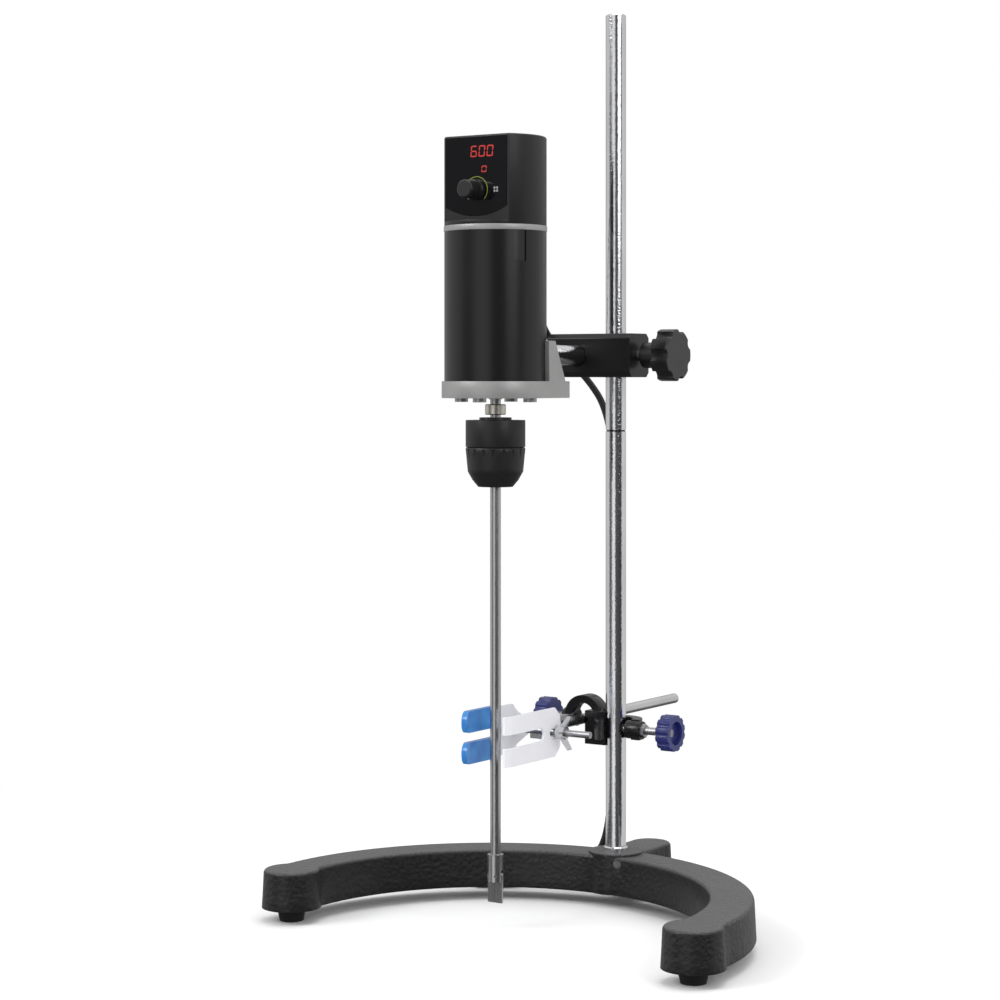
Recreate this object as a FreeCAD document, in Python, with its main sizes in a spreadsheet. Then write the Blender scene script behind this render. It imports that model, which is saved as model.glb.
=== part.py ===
"""Laboratory overhead stirrer on a cast C base, in millimetres.

+Z is up and -Y is the front. The origin is on the bench, at the middle of the stand's footprint.
The stand rod stands at x = 0, the motor head and the stir shaft hang in front of it and to its left.
"""
import FreeCAD, Part
import math
import os
import Sketcher

V = FreeCAD.Vector
PARTS_FOLDER = "parts"

doc = FreeCAD.newDocument("OverheadStirrer")
sheet = doc.addObject("Spreadsheet::Sheet", "Sizes")
sheet_row = 0


def size(alias, number):
    """Puts one driving dimension in the sheet, under the alias that the model uses."""
    global sheet_row
    sheet_row += 1
    sheet.set("A" + str(sheet_row), alias)
    sheet.set("B" + str(sheet_row), str(number))
    sheet.setAlias("B" + str(sheet_row), alias)


def derived(alias, formula):
    """Puts a size that follows from others in the sheet, as a formula."""
    global sheet_row
    sheet_row += 1
    sheet.set("A" + str(sheet_row), alias)
    sheet.set("B" + str(sheet_row), "=" + formula)
    sheet.setAlias("B" + str(sheet_row), alias)


# Fits
size("running_gap", 0.3)
size("slide_gap", 0.2)
size("seat_gap", 0.15)

# Cast base
size("foot_gap", 10)
size("casting_height", 29)
size("arc_radius", 173)
size("arc_width", 32)
size("arc_draft", 1.5)
size("arc_wall", 7)
size("rod_behind_arc_centre", 176)
size("pad_ahead_of_arc_centre", 12)
size("pad_radius", 22.5)
size("pad_draft", 1.5)
size("tongue_width", 33)
size("rear_foot_reach", 53)
size("boss_radius", 21)
size("boss_rise", 2)
size("casting_round", 3)
derived("base_top", "foot_gap + casting_height")
derived("boss_top", "base_top + boss_rise")
derived("base_nut_level", "foot_gap + 4")
derived("front_reach", "rod_behind_arc_centre + pad_ahead_of_arc_centre + pad_radius")

# Feet
size("foot_top_radius", 11.2)
size("foot_bottom_radius", 9)
size("foot_screw_radius", 2.5)
size("foot_screw_length", 16)
size("foot_head_radius", 4.5)
size("foot_head_height", 3)
size("foot_head_depth", 4)

# Stand rod
size("rod_radius", 8)
size("rod_top", 693)
size("rod_joint", 369)
size("rod_round", 1)
size("joint_groove_depth", 0.6)
size("joint_groove_width", 1.3)
size("joint_stud_radius", 5)
size("joint_stud_length", 18)
size("tail_radius", 5)
size("tail_end", 12)
size("base_nut_width", 17)
size("base_nut_height", 8)
size("nut_pocket_radius", 12)
size("flat_across", 14)
size("bottom_flat_start", 45)
size("flat_length", 8)
size("collar_radius", 9.5)
size("collar_height", 3.5)
size("set_screw_radius", 3)
size("set_screw_length", 12)
size("set_screw_angle", 33)
size("set_screw_drop", 7)

# Where things stand, from the rod
size("head_left_of_rod", 26.5)
size("head_ahead_of_rod", 130)
size("arm_rear_reach", 140)
derived("rod_y", "(front_reach - arm_rear_reach) / 2")
derived("head_y", "rod_y - head_ahead_of_rod")
derived("head_x", "-head_left_of_rod")
derived("arc_y", "rod_y - rod_behind_arc_centre")
derived("pad_y", "arc_y - pad_ahead_of_arc_centre")

# Clamp block and star knob
size("block_level", 427)
size("block_height", 34)
size("block_depth", 30)
size("block_left", 54)
size("block_right", 21)
size("block_chamfer", 3.5)
size("star_screw_radius", 4)
size("star_hub_start", 26.5)
size("star_hub_radius", 10)
size("star_head_start", 42)
size("star_head_end", 56)
size("star_radius", 20)
size("star_notch_radius", 5)
size("star_lobes", 7)
size("star_edge", 1.5)

# Boom
size("boom_radius", 8)
size("boom_behind_block", 15)
size("boom_in_bracket", 10)

# Motor bracket
size("flange_bottom", 394.6)
size("flange_thickness", 12.5)
size("flange_radius", 40)
size("flange_back", 40)
size("horn_front", 12)
size("horn_top_back", 20)
size("horn_top_front", 11)
size("horn_top", 437)
size("pillar_width", 24)
size("pillar_back", 52)
size("boom_boss_radius", 14)
size("bracket_screw_circle", 28)
size("bracket_screw_turn", 9)
size("bracket_screw_radius", 2.5)
size("bracket_head_radius", 5)
size("bracket_head_height", 3)
size("bracket_screw_length", 16)
derived("flange_top", "flange_bottom + flange_thickness")

# Motor
size("motor_radius", 38)
size("motor_wall", 2.2)
size("motor_height", 110.7)
size("ring_height", 4.2)
size("ring_radius", 38.4)
size("slot_width", 10)
size("slot_height", 23)
size("slot_turn", 62)
size("stator_height", 60)
size("stator_start", 428)
size("stator_bore_radius", 21)
size("rotor_radius", 20.4)
size("rotor_height", 54)
size("bearing_radius", 13)
size("bearing_width", 8)
size("end_plate_thickness", 9)
size("end_plate_level", 498)
derived("shell_bottom", "flange_top")
derived("ring_bottom", "shell_bottom + motor_height")
derived("housing_bottom", "ring_bottom + ring_height")

# Control housing
size("housing_height", 66)
size("housing_wall", 2.5)
size("panel_face", 25.5)
size("housing_round", 1.5)
size("panel_width", 54)
size("panel_thickness", 1.2)
size("panel_recess", 0.8)
size("panel_bottom", 528.5)
size("panel_top_margin", 1.6)
size("panel_sag", 7)
size("rim_height", 3)
size("knob_level", 547.5)
size("knob_right", 0.5)
size("knob_radius", 7)
size("knob_skirt_radius", 7.6)
size("knob_length", 16)
size("knob_stand_off", 0.4)
size("knob_shaft_radius", 3)
size("knob_shaft_length", 20)
size("bush_radius", 4.5)
size("bush_length", 4)
size("pot_size", 16)
size("pot_depth", 8)
size("board_width", 44)
size("board_height", 50)
size("board_thickness", 1.6)
size("board_gap", 9)
size("display_width", 26)
size("display_height", 24)
size("display_bottom", 557)
size("display_right", 5)
derived("housing_top", "housing_bottom + housing_height")

# Cord gland
size("gland_level", 545)
size("gland_radius", 6)
size("gland_flange_radius", 8)
size("gland_flange_width", 3)
size("gland_length", 14)
size("gland_boss_length", 12)
size("cord_radius", 2.75)

# Spindle and chuck
size("spindle_radius", 5)
size("neck_radius", 4)
size("spindle_end", 360.5)
size("spindle_head", 510)
size("nickel_radius", 7.8)
size("nickel_bottom", 382.2)
size("nickel_top", 390)
size("chuck_top", 380.2)
size("chuck_bottom", 328.8)
size("chuck_radius", 22.2)
size("chuck_split", 358)
size("chuck_core_radius", 15)
size("chuck_cap_radius", 12)
size("chuck_cap_height", 2)
size("chuck_waist_radius", 20.6)
size("chuck_waist", 340)
size("chuck_nose_radius", 13)
size("sleeve_flutes", 18)
size("flute_radius", 1)
size("jaw_width", 4)
size("jaw_height", 16)
size("jaw_reach", 7)
size("jaw_bottom", 334)
size("jaw_travel", 2.5)

# Stir shaft and impeller
size("shaft_radius", 4)
size("shaft_bottom", 45)
size("hub_radius", 6)
size("hub_bottom", 36)
size("hub_height", 20)
size("blade_reach", 20)
size("blade_width", 6)
size("blade_thickness", 1.8)
size("blade_pin_radius", 1)
size("blade_pin_offset", 3.2)
size("blade_pin_reach", 4.8)
size("blade_pin_level", 40.2)
derived("shaft_top", "spindle_end - 1.5")

# Boss head
size("rod_clamp_level", 136)
size("arm_level", 142)
size("arm_radius", 4)
size("vee_plate_height", 26)
size("vee_plate_depth", 16)
size("vee_mouth", 5)
size("rod_vee_side", 12.7)
size("arm_vee_side", 8.5)
size("hook_height", 16)
size("hook_outer", 19)
size("hook_inner", 11.5)
size("arch_outer", 16.5)
size("arch_inner", 10.5)
size("arch_level", 144)
size("arch_depth", 13)
size("nut_boss_radius", 7)
size("rod_nut_start", 11)
size("rod_nut_end", 24)
size("arm_nut_start", 35)
size("arm_nut_end", 46)
size("hand_screw_radius", 3)
size("hand_knob_radius", 14)
size("hand_knob_thickness", 11)
size("rod_knob_start", 43)
size("arm_knob_start", 57)
size("hand_knob_scallops", 12)
size("scallop_radius", 2.2)
size("knob_recess_radius", 9)
size("knob_recess_depth", 4)

# Flask clamp
size("yoke_ahead_of_rod", 57)
size("yoke_length", 16)
size("yoke_width", 24)
size("yoke_height", 18)
size("knuckle_height", 10)
size("jaw_pivot_offset", 7)
size("jaw_pin_radius", 2)
size("jaw_plate", 2.4)
size("jaw_total_height", 37)
size("jaw_slot_height", 9.7)
size("jaw_slot_length", 46)
size("jaw_gap_half", 18)
size("jaw_shoulder", 16)
size("jaw_length", 88)
size("pad_coat", 1.2)
size("jaw_tip_round", 6)
size("pad_coat_length", 46)
size("stud_radius", 2.5)
size("stud_ahead_of_pivot", 22)
size("stud_slot_ahead", 4.4)
size("stud_slot_behind", 1.6)
size("stud_tail", 31)
size("washer_gap", 0.7)
size("washer_thickness", 1.5)
size("wing_hub_radius", 5)
size("wing_hub_length", 7)
size("wing_span", 13)
size("wing_thickness", 2.2)
derived("pivot_y", "rod_y - yoke_ahead_of_rod")
derived("coat_tip_round", "jaw_tip_round + pad_coat")

# Cord
size("gland_left", 16)
size("gland_out", 36)
size("coil_x", -126.8)
size("coil_y", 60)
size("coil_radius", 31)
size("coil_band", 16.5)
size("coil_height", 11)
size("coil_lift", 0.2)
size("plug_from_coil", 44)
size("plug_length", 36)
size("plug_width", 25)
size("plug_height", 16.5)
size("plug_round", 5)
size("plug_tail_length", 18)
size("plug_blade_length", 16)
derived("coil_outer", "coil_radius + coil_band / 2")
derived("lead_y", "coil_y - coil_outer + cord_radius")
derived("lead_level", "coil_lift + plug_height / 2")

doc.recompute()


def number(alias):
    """Reads a size back from the sheet."""
    return float(sheet.get(alias))


def bind(piece, **formulas):
    """Binds properties of a piece to formulas on the sheet's aliases."""
    for name, formula in formulas.items():
        piece.setExpression(name, linked(formula))
    return piece


def linked(formula):
    """Turns a formula on plain aliases into one that names the sheet."""
    words = []
    word = ""
    for letter in formula + " ":
        if letter.isalnum() or letter in "_.":
            word += letter
            continue
        if word and word[0].isalpha() and word not in ("sqrt", "sin", "cos", "tan", "deg", "mm"):
            word = "Sizes." + word
        words.append(word + letter)
        word = ""
    return "".join(words).strip()


TURNS = {
    "z": FreeCAD.Rotation(),
    "x": FreeCAD.Rotation(V(0, 1, 0), 90),
    "-x": FreeCAD.Rotation(V(0, 1, 0), -90),
    "y": FreeCAD.Rotation(V(1, 0, 0), -90),
    "-y": FreeCAD.Rotation(V(1, 0, 0), 90),
}


def place(piece, x="0", y="0", z="0", along="z"):
    """Places a piece by formulas, with its own Z axis turned along the given direction."""
    piece.Placement = FreeCAD.Placement(V(0, 0, 0), TURNS[along])
    piece.setExpression(".Placement.Base.x", linked(x))
    piece.setExpression(".Placement.Base.y", linked(y))
    piece.setExpression(".Placement.Base.z", linked(z))
    return piece


def cylinder(name, radius, height, x="0", y="0", z="0", along="z"):
    piece = doc.addObject("Part::Cylinder", name)
    bind(piece, Radius=radius, Height=height)
    return place(piece, x, y, z, along)


def cone(name, bottom, top, height, x="0", y="0", z="0", along="z"):
    piece = doc.addObject("Part::Cone", name)
    bind(piece, Radius1=bottom, Radius2=top, Height=height)
    return place(piece, x, y, z, along)


def block(name, length, width, height, x="0", y="0", z="0"):
    """A box from its lowest corner."""
    piece = doc.addObject("Part::Box", name)
    bind(piece, Length=length, Width=width, Height=height)
    return place(piece, x, y, z)


def fused(name, pieces):
    piece = doc.addObject("Part::MultiFuse", name)
    piece.Shapes = pieces
    piece.Refine = True
    return piece


def cut(name, base, tools):
    """Takes one or more tools away from a base."""
    tool = tools[0]
    if len(tools) > 1:
        tool = fused(name + "Tools", tools)
    piece = doc.addObject("Part::Cut", name)
    piece.Base = base
    piece.Tool = tool
    return piece


def common(name, pieces):
    piece = doc.addObject("Part::MultiCommon", name)
    piece.Shapes = pieces
    return piece


def group(name, pieces):
    """Separate solids that share one node."""
    piece = doc.addObject("Part::Compound", name)
    piece.Links = pieces
    return piece


def origin_plane(body, role):
    for feature in body.Origin.OriginFeatures:
        if feature.Role == role:
            return feature
    raise ValueError("no origin plane " + role)


def outline_body(name, role, corners):
    """A body with one sketch: a closed outline whose corners are formulas on the sheet."""
    body = doc.addObject("PartDesign::Body", name + "Body")
    sketch = body.newObject("Sketcher::SketchObject", name + "Outline")
    sketch.AttachmentSupport = [(origin_plane(body, role), "")]
    sketch.MapMode = "FlatFace"
    count = len(corners)
    for index in range(count):
        start = V(math.cos(2 * math.pi * index / count), math.sin(2 * math.pi * index / count), 0)
        after = index + 1
        end = V(math.cos(2 * math.pi * after / count), math.sin(2 * math.pi * after / count), 0)
        sketch.addGeometry(Part.LineSegment(start * 50 + V(60, 60, 0), end * 50 + V(60, 60, 0)), False)
    for index in range(count):
        sketch.addConstraint(Sketcher.Constraint("Coincident", index, 2, (index + 1) % count, 1))
    for index, (across, up) in enumerate(corners):
        first = sketch.addConstraint(Sketcher.Constraint("DistanceX", -1, 1, index, 1, 1.0))
        second = sketch.addConstraint(Sketcher.Constraint("DistanceY", -1, 1, index, 1, 1.0))
        sketch.setExpression("Constraints[" + str(first) + "]", linked(across))
        sketch.setExpression("Constraints[" + str(second) + "]", linked(up))
    doc.recompute()
    return body, sketch


def turned(name, corners, x="0", y="0", z="0", angle=360.0):
    """A turned piece: an outline in the XZ plane, revolved about the Z axis."""
    body, sketch = outline_body(name, "XZ_Plane", corners)
    feature = body.newObject("PartDesign::Revolution", name + "Turn")
    feature.Profile = sketch
    feature.ReferenceAxis = (sketch, ["V_Axis"])
    feature.Angle = angle
    body.Tip = feature
    doc.recompute()
    return place(body, x, y, z)


def plate(name, role, corners, thickness, x="0", y="0", z="0", middle=False):
    """A plate: an outline on an origin plane, padded to its thickness."""
    body, sketch = outline_body(name, role, corners)
    feature = body.newObject("PartDesign::Pad", name + "Pad")
    feature.Profile = sketch
    feature.setExpression("Length", linked(thickness))
    feature.Midplane = middle
    body.Tip = feature
    doc.recompute()
    return place(body, x, y, z)


def edges_where(piece, test):
    """The numbers of the edges that pass a test, for a fillet or a chamfer."""
    doc.recompute()
    return [index + 1 for index, edge in enumerate(piece.Shape.Edges) if test(edge)]


def rounded(name, base, radius, test):
    """Rounds the edges of a base that pass a test."""
    chosen = edges_where(base, test)
    piece = doc.addObject("Part::Fillet", name)
    piece.Base = base
    piece.Edges = [(index, number(radius), number(radius)) for index in chosen]
    return piece


def chamfered(name, base, width, test):
    """Chamfers the edges of a base that pass a test."""
    chosen = edges_where(base, test)
    piece = doc.addObject("Part::Chamfer", name)
    piece.Base = base
    piece.Edges = [(index, number(width), number(width)) for index in chosen]
    return piece


def level(edge, height):
    """True for an edge that lies flat at a height."""
    box = edge.BoundBox
    return abs(box.ZMin - height) < 0.01 and abs(box.ZMax - height) < 0.01


def lies_at(edge, axis, place_along):
    """True for an edge that lies flat across an axis at one place along it."""
    box = edge.BoundBox
    low = getattr(box, axis + "Min")
    high = getattr(box, axis + "Max")
    return abs(low - place_along) < 0.01 and abs(high - place_along) < 0.01


nodes = {}


def node(name, piece):
    """Names a finished sub-part."""
    piece.Label = name
    nodes[name] = piece
    return piece


def make_base():
    """The cast C with its end pads, rear tongue and rod boss, hollow underneath."""
    inner = "arc_radius - arc_width / 2"
    outer = "arc_radius + arc_width / 2"
    ring = turned("BaseArc", [
        (inner + " - arc_draft", "0"),
        (inner + " - arc_draft + arc_wall", "0"),
        (inner + " + arc_wall", "casting_height - arc_wall"),
        (outer + " - arc_wall", "casting_height - arc_wall"),
        (outer + " + arc_draft - arc_wall", "0"),
        (outer + " + arc_draft", "0"),
        (outer, "casting_height"),
        (inner, "casting_height"),
    ], y="arc_y", z="foot_gap", angle=180.0)
    top = number("base_top")
    ring = rounded("BaseArcRound", ring, "casting_round", lambda edge: level(edge, top)
                   and edge.Length > 100)
    pads = []
    for side, sign in (("Left", "-"), ("Right", "")):
        pad = cone("Pad" + side, "pad_radius", "pad_radius - pad_draft", "casting_height",
                   sign + "arc_radius", "pad_y", "foot_gap")
        pads.append(rounded("Pad" + side + "Round", pad, "casting_round", lambda edge: level(edge, top)
                            and edge.Length > 50))
    tongue_end = cone("TongueEnd", "tongue_width / 2 + arc_draft", "tongue_width / 2", "casting_height",
                      "0", "rod_y + rear_foot_reach", "foot_gap")
    tongue_end = rounded("TongueEndRound", tongue_end, "casting_round", lambda edge: level(edge, top)
                         and edge.Length > 50)
    tongue = block("Tongue", "tongue_width", "rear_foot_reach", "casting_height",
                   "-tongue_width / 2", "rod_y", "foot_gap")
    tongue = rounded("TongueRound", tongue, "casting_round", lambda edge: level(edge, top)
                     and abs(edge.BoundBox.XMax - edge.BoundBox.XMin) < 0.01)
    boss = cone("RodBoss", "boss_radius + arc_draft", "boss_radius", "casting_height + boss_rise",
                "0", "rod_y", "foot_gap")
    boss_top = number("boss_top")
    boss = rounded("RodBossRound", boss, "rod_round", lambda edge: level(edge, boss_top)
                   and edge.Length > 50)
    body = fused("BaseBody", [ring] + pads + [tongue_end, tongue, boss])
    tools = [
        cylinder("TailHole", "tail_radius + seat_gap", "boss_top", "0", "rod_y", "0"),
        cylinder("NutPocket", "nut_pocket_radius", "base_nut_level + base_nut_height", "0", "rod_y", "0"),
    ]
    for name, x, y in foot_places():
        tools.append(cylinder("FootScrewHole" + name, "foot_screw_radius + seat_gap",
                              "foot_screw_length - foot_gap + foot_head_depth + foot_head_height + 2",
                              x, y, "foot_gap - 1"))
    tools.append(set_screw_cylinder("SetScrewHole", "set_screw_radius + seat_gap", "boss_radius + 5", "0"))
    node("stand_base", cut("StandBase", body, tools))


def foot_places():
    """The name and the place of each foot."""
    return [("Left", "-arc_radius", "pad_y"), ("Right", "arc_radius", "pad_y"),
            ("Rear", "0", "rod_y + rear_foot_reach")]


def make_feet():
    """Tapered rubber feet, each held by a screw in a counterbore."""
    feet = []
    screws = []
    for name, x, y in foot_places():
        shape = cone("Foot" + name, "foot_bottom_radius", "foot_top_radius", "foot_gap", x, y, "0")
        bore = cylinder("FootBore" + name, "foot_screw_radius + seat_gap", "foot_gap", x, y, "0")
        sink = cylinder("FootSink" + name, "foot_head_radius + running_gap", "foot_head_depth", x, y, "0")
        feet.append(cut("RubberFoot" + name, shape, [bore, sink]))
        shank = cylinder("FootShank" + name, "foot_screw_radius", "foot_screw_length", x, y,
                         "foot_head_depth")
        head = cylinder("FootHead" + name, "foot_head_radius", "foot_head_height", x, y,
                        "foot_head_depth - foot_head_height")
        screws.append(fused("FootScrew" + name, [shank, head]))
    node("rubber_feet", group("RubberFeet", feet))
    node("foot_screws", group("FootScrews", screws))


def flats(name, start, length):
    """Two boxes that cut wrench flats across the rod."""
    left = block(name + "Left", "rod_radius", "4 * rod_radius", length,
                 "-flat_across / 2 - rod_radius", "rod_y - 2 * rod_radius", start)
    right = block(name + "Right", "rod_radius", "4 * rod_radius", length,
                  "flat_across / 2", "rod_y - 2 * rod_radius", start)
    return [left, right]


def make_rods():
    """The two chromed rods: the lower one has a stud for the upper one and a tail for the base nut."""
    lower = turned("LowerRod", [
        ("0", "tail_end"),
        ("tail_radius", "tail_end"),
        ("tail_radius", "boss_top"),
        ("rod_radius", "boss_top"),
        ("rod_radius", "rod_joint - joint_groove_width"),
        ("rod_radius - joint_groove_depth", "rod_joint - joint_groove_width"),
        ("rod_radius - joint_groove_depth", "rod_joint"),
        ("joint_stud_radius", "rod_joint"),
        ("joint_stud_radius", "rod_joint + joint_stud_length"),
        ("0", "rod_joint + joint_stud_length"),
    ], y="rod_y")
    node("lower_rod", cut("LowerRodCut", lower, flats("LowerFlat", "bottom_flat_start", "flat_length")))
    upper = turned("UpperRod", [
        ("0", "rod_joint"),
        ("rod_radius", "rod_joint"),
        ("rod_radius", "rod_top - rod_round"),
        ("rod_radius - rod_round", "rod_top"),
        ("0", "rod_top"),
    ], y="rod_y")
    stud_hole = cylinder("UpperStudHole", "joint_stud_radius + seat_gap", "joint_stud_length + 1",
                         "0", "rod_y", "rod_joint")
    node("upper_rod", cut("UpperRodCut", upper, [stud_hole] + flats("UpperFlat", "rod_top - flat_length",
                                                                     "flat_length")))
    ring = turned("RodCollar", [
        ("rod_radius + seat_gap", "0"),
        ("collar_radius", "0"),
        ("collar_radius", "collar_height - 1"),
        ("collar_radius - 1", "collar_height"),
        ("rod_radius + seat_gap", "collar_height"),
    ], y="rod_y", z="boss_top")
    node("rod_collar", ring)
    nut = doc.addObject("Part::Prism", "BaseNutHex")
    nut.Polygon = 6
    bind(nut, Circumradius="base_nut_width / sqrt(3)", Height="base_nut_height")
    place(nut, "0", "rod_y", "base_nut_level")
    bore = cylinder("BaseNutBore", "tail_radius + seat_gap", "base_nut_height", "0", "rod_y",
                    "base_nut_level")
    node("rod_base_nut", cut("BaseNut", nut, [bore]))
    node("base_set_screw", set_screw_cylinder("BaseSetScrew", "set_screw_radius", "set_screw_length",
                                              "(boss_radius - set_screw_length + 0.5)"))


def set_screw_cylinder(name, radius, length, start):
    """A level cylinder that points out of the rod boss, at the set screw's angle."""
    piece = cylinder(name, radius, length, start + " * sin(set_screw_angle * 1deg)",
                     "rod_y - " + start + " * cos(set_screw_angle * 1deg)", "boss_top - set_screw_drop")
    angle = math.radians(number("set_screw_angle"))
    turn = FreeCAD.Rotation(V(0, 0, 1), V(math.sin(angle), -math.cos(angle), 0))
    piece.Placement = FreeCAD.Placement(piece.Placement.Base, turn)
    return piece


def make_carrier():
    """The clamp block with its two crossed bores, the star knob, and the boom that it holds."""
    body = block("BlockBody", "block_left + block_right", "block_depth", "block_height",
                 "-block_left", "rod_y - block_depth / 2", "block_level - block_height / 2")
    body = chamfered("BlockChamfer", body, "block_chamfer",
                     lambda edge: edge.BoundBox.XMax - edge.BoundBox.XMin > 20)
    tools = [
        cylinder("BlockRodBore", "rod_radius + slide_gap", "block_height", "0", "rod_y",
                 "block_level - block_height / 2"),
        cylinder("BlockBoomBore", "boom_radius + slide_gap", "block_depth", "head_x",
                 "rod_y - block_depth / 2", "block_level", "y"),
        cylinder("StarScrewHole", "star_screw_radius + slide_gap", "block_right", "0", "rod_y",
                 "block_level", "x"),
        cylinder("BoomScrewHole", "set_screw_radius + seat_gap", "block_left - head_left_of_rod",
                 "-block_left", "rod_y", "block_level", "x"),
    ]
    node("clamp_block", cut("ClampBlock", body, tools))
    node("boom_set_screw", cylinder("BoomSetScrew", "set_screw_radius", "set_screw_length",
                                    "head_x - boom_radius - seat_gap - set_screw_length", "rod_y",
                                    "block_level", "x"))
    node("star_knob_screw", cylinder("StarScrew", "star_screw_radius",
                                     "star_head_start - rod_radius - running_gap",
                                     "rod_radius + running_gap", "rod_y", "block_level", "x"))
    node("star_knob", star_knob())
    node("boom", cylinder("Boom", "boom_radius",
                          "rod_y + block_depth / 2 + boom_behind_block - head_y - pillar_back"
                          " + boom_in_bracket", "head_x", "head_y + pillar_back - boom_in_bracket",
                          "block_level", "y"))


def star_knob():
    """A deep lobed head on a round hub, bored for its screw."""
    head = cylinder("StarHead", "star_radius", "star_head_end - star_head_start",
                    "star_head_start", "rod_y", "block_level", "x")
    hub = cylinder("StarHub", "star_hub_radius", "star_head_start - star_hub_start",
                   "star_hub_start", "rod_y", "block_level", "x")
    head = rounded("StarHeadRound", head, "star_edge",
                   lambda edge: lies_at(edge, "X", number("star_head_end")))
    notches = []
    lobes = int(number("star_lobes"))
    for index in range(lobes):
        angle = str(360.0 * (index + 0.5) / lobes)
        notches.append(cylinder("StarNotch" + str(index), "star_notch_radius",
                                "star_head_end - star_head_start + 2", "star_head_start - 1",
                                "rod_y + (star_radius + star_notch_radius * 0.35) * cos(" + angle + "deg)",
                                "block_level + (star_radius + star_notch_radius * 0.35) * sin("
                                + angle + "deg)", "x"))
    bore = cylinder("StarBore", "star_screw_radius + seat_gap", "star_head_start - star_hub_start",
                    "star_hub_start", "rod_y", "block_level", "x")
    return cut("StarKnob", fused("StarBody", [head, hub]), notches + [bore])


def make_bracket():
    """The cast flange with the two horns that hug the motor and the pillar that takes the boom."""
    front = cylinder("FlangeRound", "flange_radius", "flange_thickness", "head_x", "head_y",
                     "flange_bottom")
    back = block("FlangeBack", "2 * flange_radius", "flange_back", "flange_thickness",
                 "head_x - flange_radius", "head_y", "flange_bottom")
    horns = plate("Horns", "YZ_Plane", [
        ("horn_front", "0"),
        ("flange_back", "0"),
        ("horn_top_back", "horn_top - flange_bottom"),
        ("horn_top_front", "horn_top - flange_bottom"),
    ], "2 * flange_radius", "head_x - flange_radius", "head_y", "flange_bottom")
    pillar = block("Pillar", "pillar_width", "pillar_back - flange_back + 6", "block_level - flange_bottom",
                   "head_x - pillar_width / 2", "head_y + flange_back - 6", "flange_bottom")
    boss = cylinder("BoomBoss", "boom_boss_radius", "pillar_back - flange_back + 6", "head_x",
                    "head_y + flange_back - 6", "block_level", "y")
    body = fused("BracketBody", [front, back, horns, pillar, boss])
    tools = [
        cylinder("MotorSeat", "motor_radius + seat_gap", "motor_height", "head_x", "head_y", "flange_top"),
        cylinder("LowerBearingSeat", "bearing_radius + seat_gap", "bearing_width", "head_x", "head_y",
                 "flange_top - bearing_width"),
        cylinder("SpindleHole", "spindle_radius + 1", "flange_thickness", "head_x", "head_y",
                 "flange_bottom"),
        cylinder("BoomSocket", "boom_radius + seat_gap", "boom_in_bracket", "head_x",
                 "head_y + pillar_back - boom_in_bracket", "block_level", "y"),
    ]
    screws = []
    for index in range(4):
        angle = "(bracket_screw_turn + " + str(90 * index) + ") * 1deg"
        x = "head_x + bracket_screw_circle * cos(" + angle + ")"
        y = "head_y + bracket_screw_circle * sin(" + angle + ")"
        tools.append(cylinder("BracketHole" + str(index), "bracket_screw_radius + seat_gap",
                              "flange_thickness", x, y, "flange_bottom"))
        shank = cylinder("BracketShank" + str(index), "bracket_screw_radius", "bracket_screw_length",
                         x, y, "flange_bottom")
        head = cylinder("BracketHead" + str(index), "bracket_head_radius", "bracket_head_height",
                        x, y, "flange_bottom - bracket_head_height")
        screws.append(fused("BracketScrew" + str(index), [shank, head]))
    node("motor_bracket", cut("MotorBracket", body, tools))
    node("bracket_screws", group("BracketScrews", screws))


def slot_cutter(name, inner, outer, margin):
    """A box that reaches out from the motor's axis towards the brush slot."""
    cutter = doc.addObject("Part::Box", name)
    wide = number("slot_width") + 2 * margin
    high = number("slot_height") + margin
    cutter.Length = wide
    cutter.Width = outer - inner
    cutter.Height = high
    turn = FreeCAD.Rotation(V(0, 0, 1), 180 + number("slot_turn"))
    start = turn.multVec(V(-wide / 2, inner, 0))
    base = V(number("head_x"), number("head_y"), number("ring_bottom") - high)
    cutter.Placement = FreeCAD.Placement(base + start, turn)
    return cutter


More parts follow.
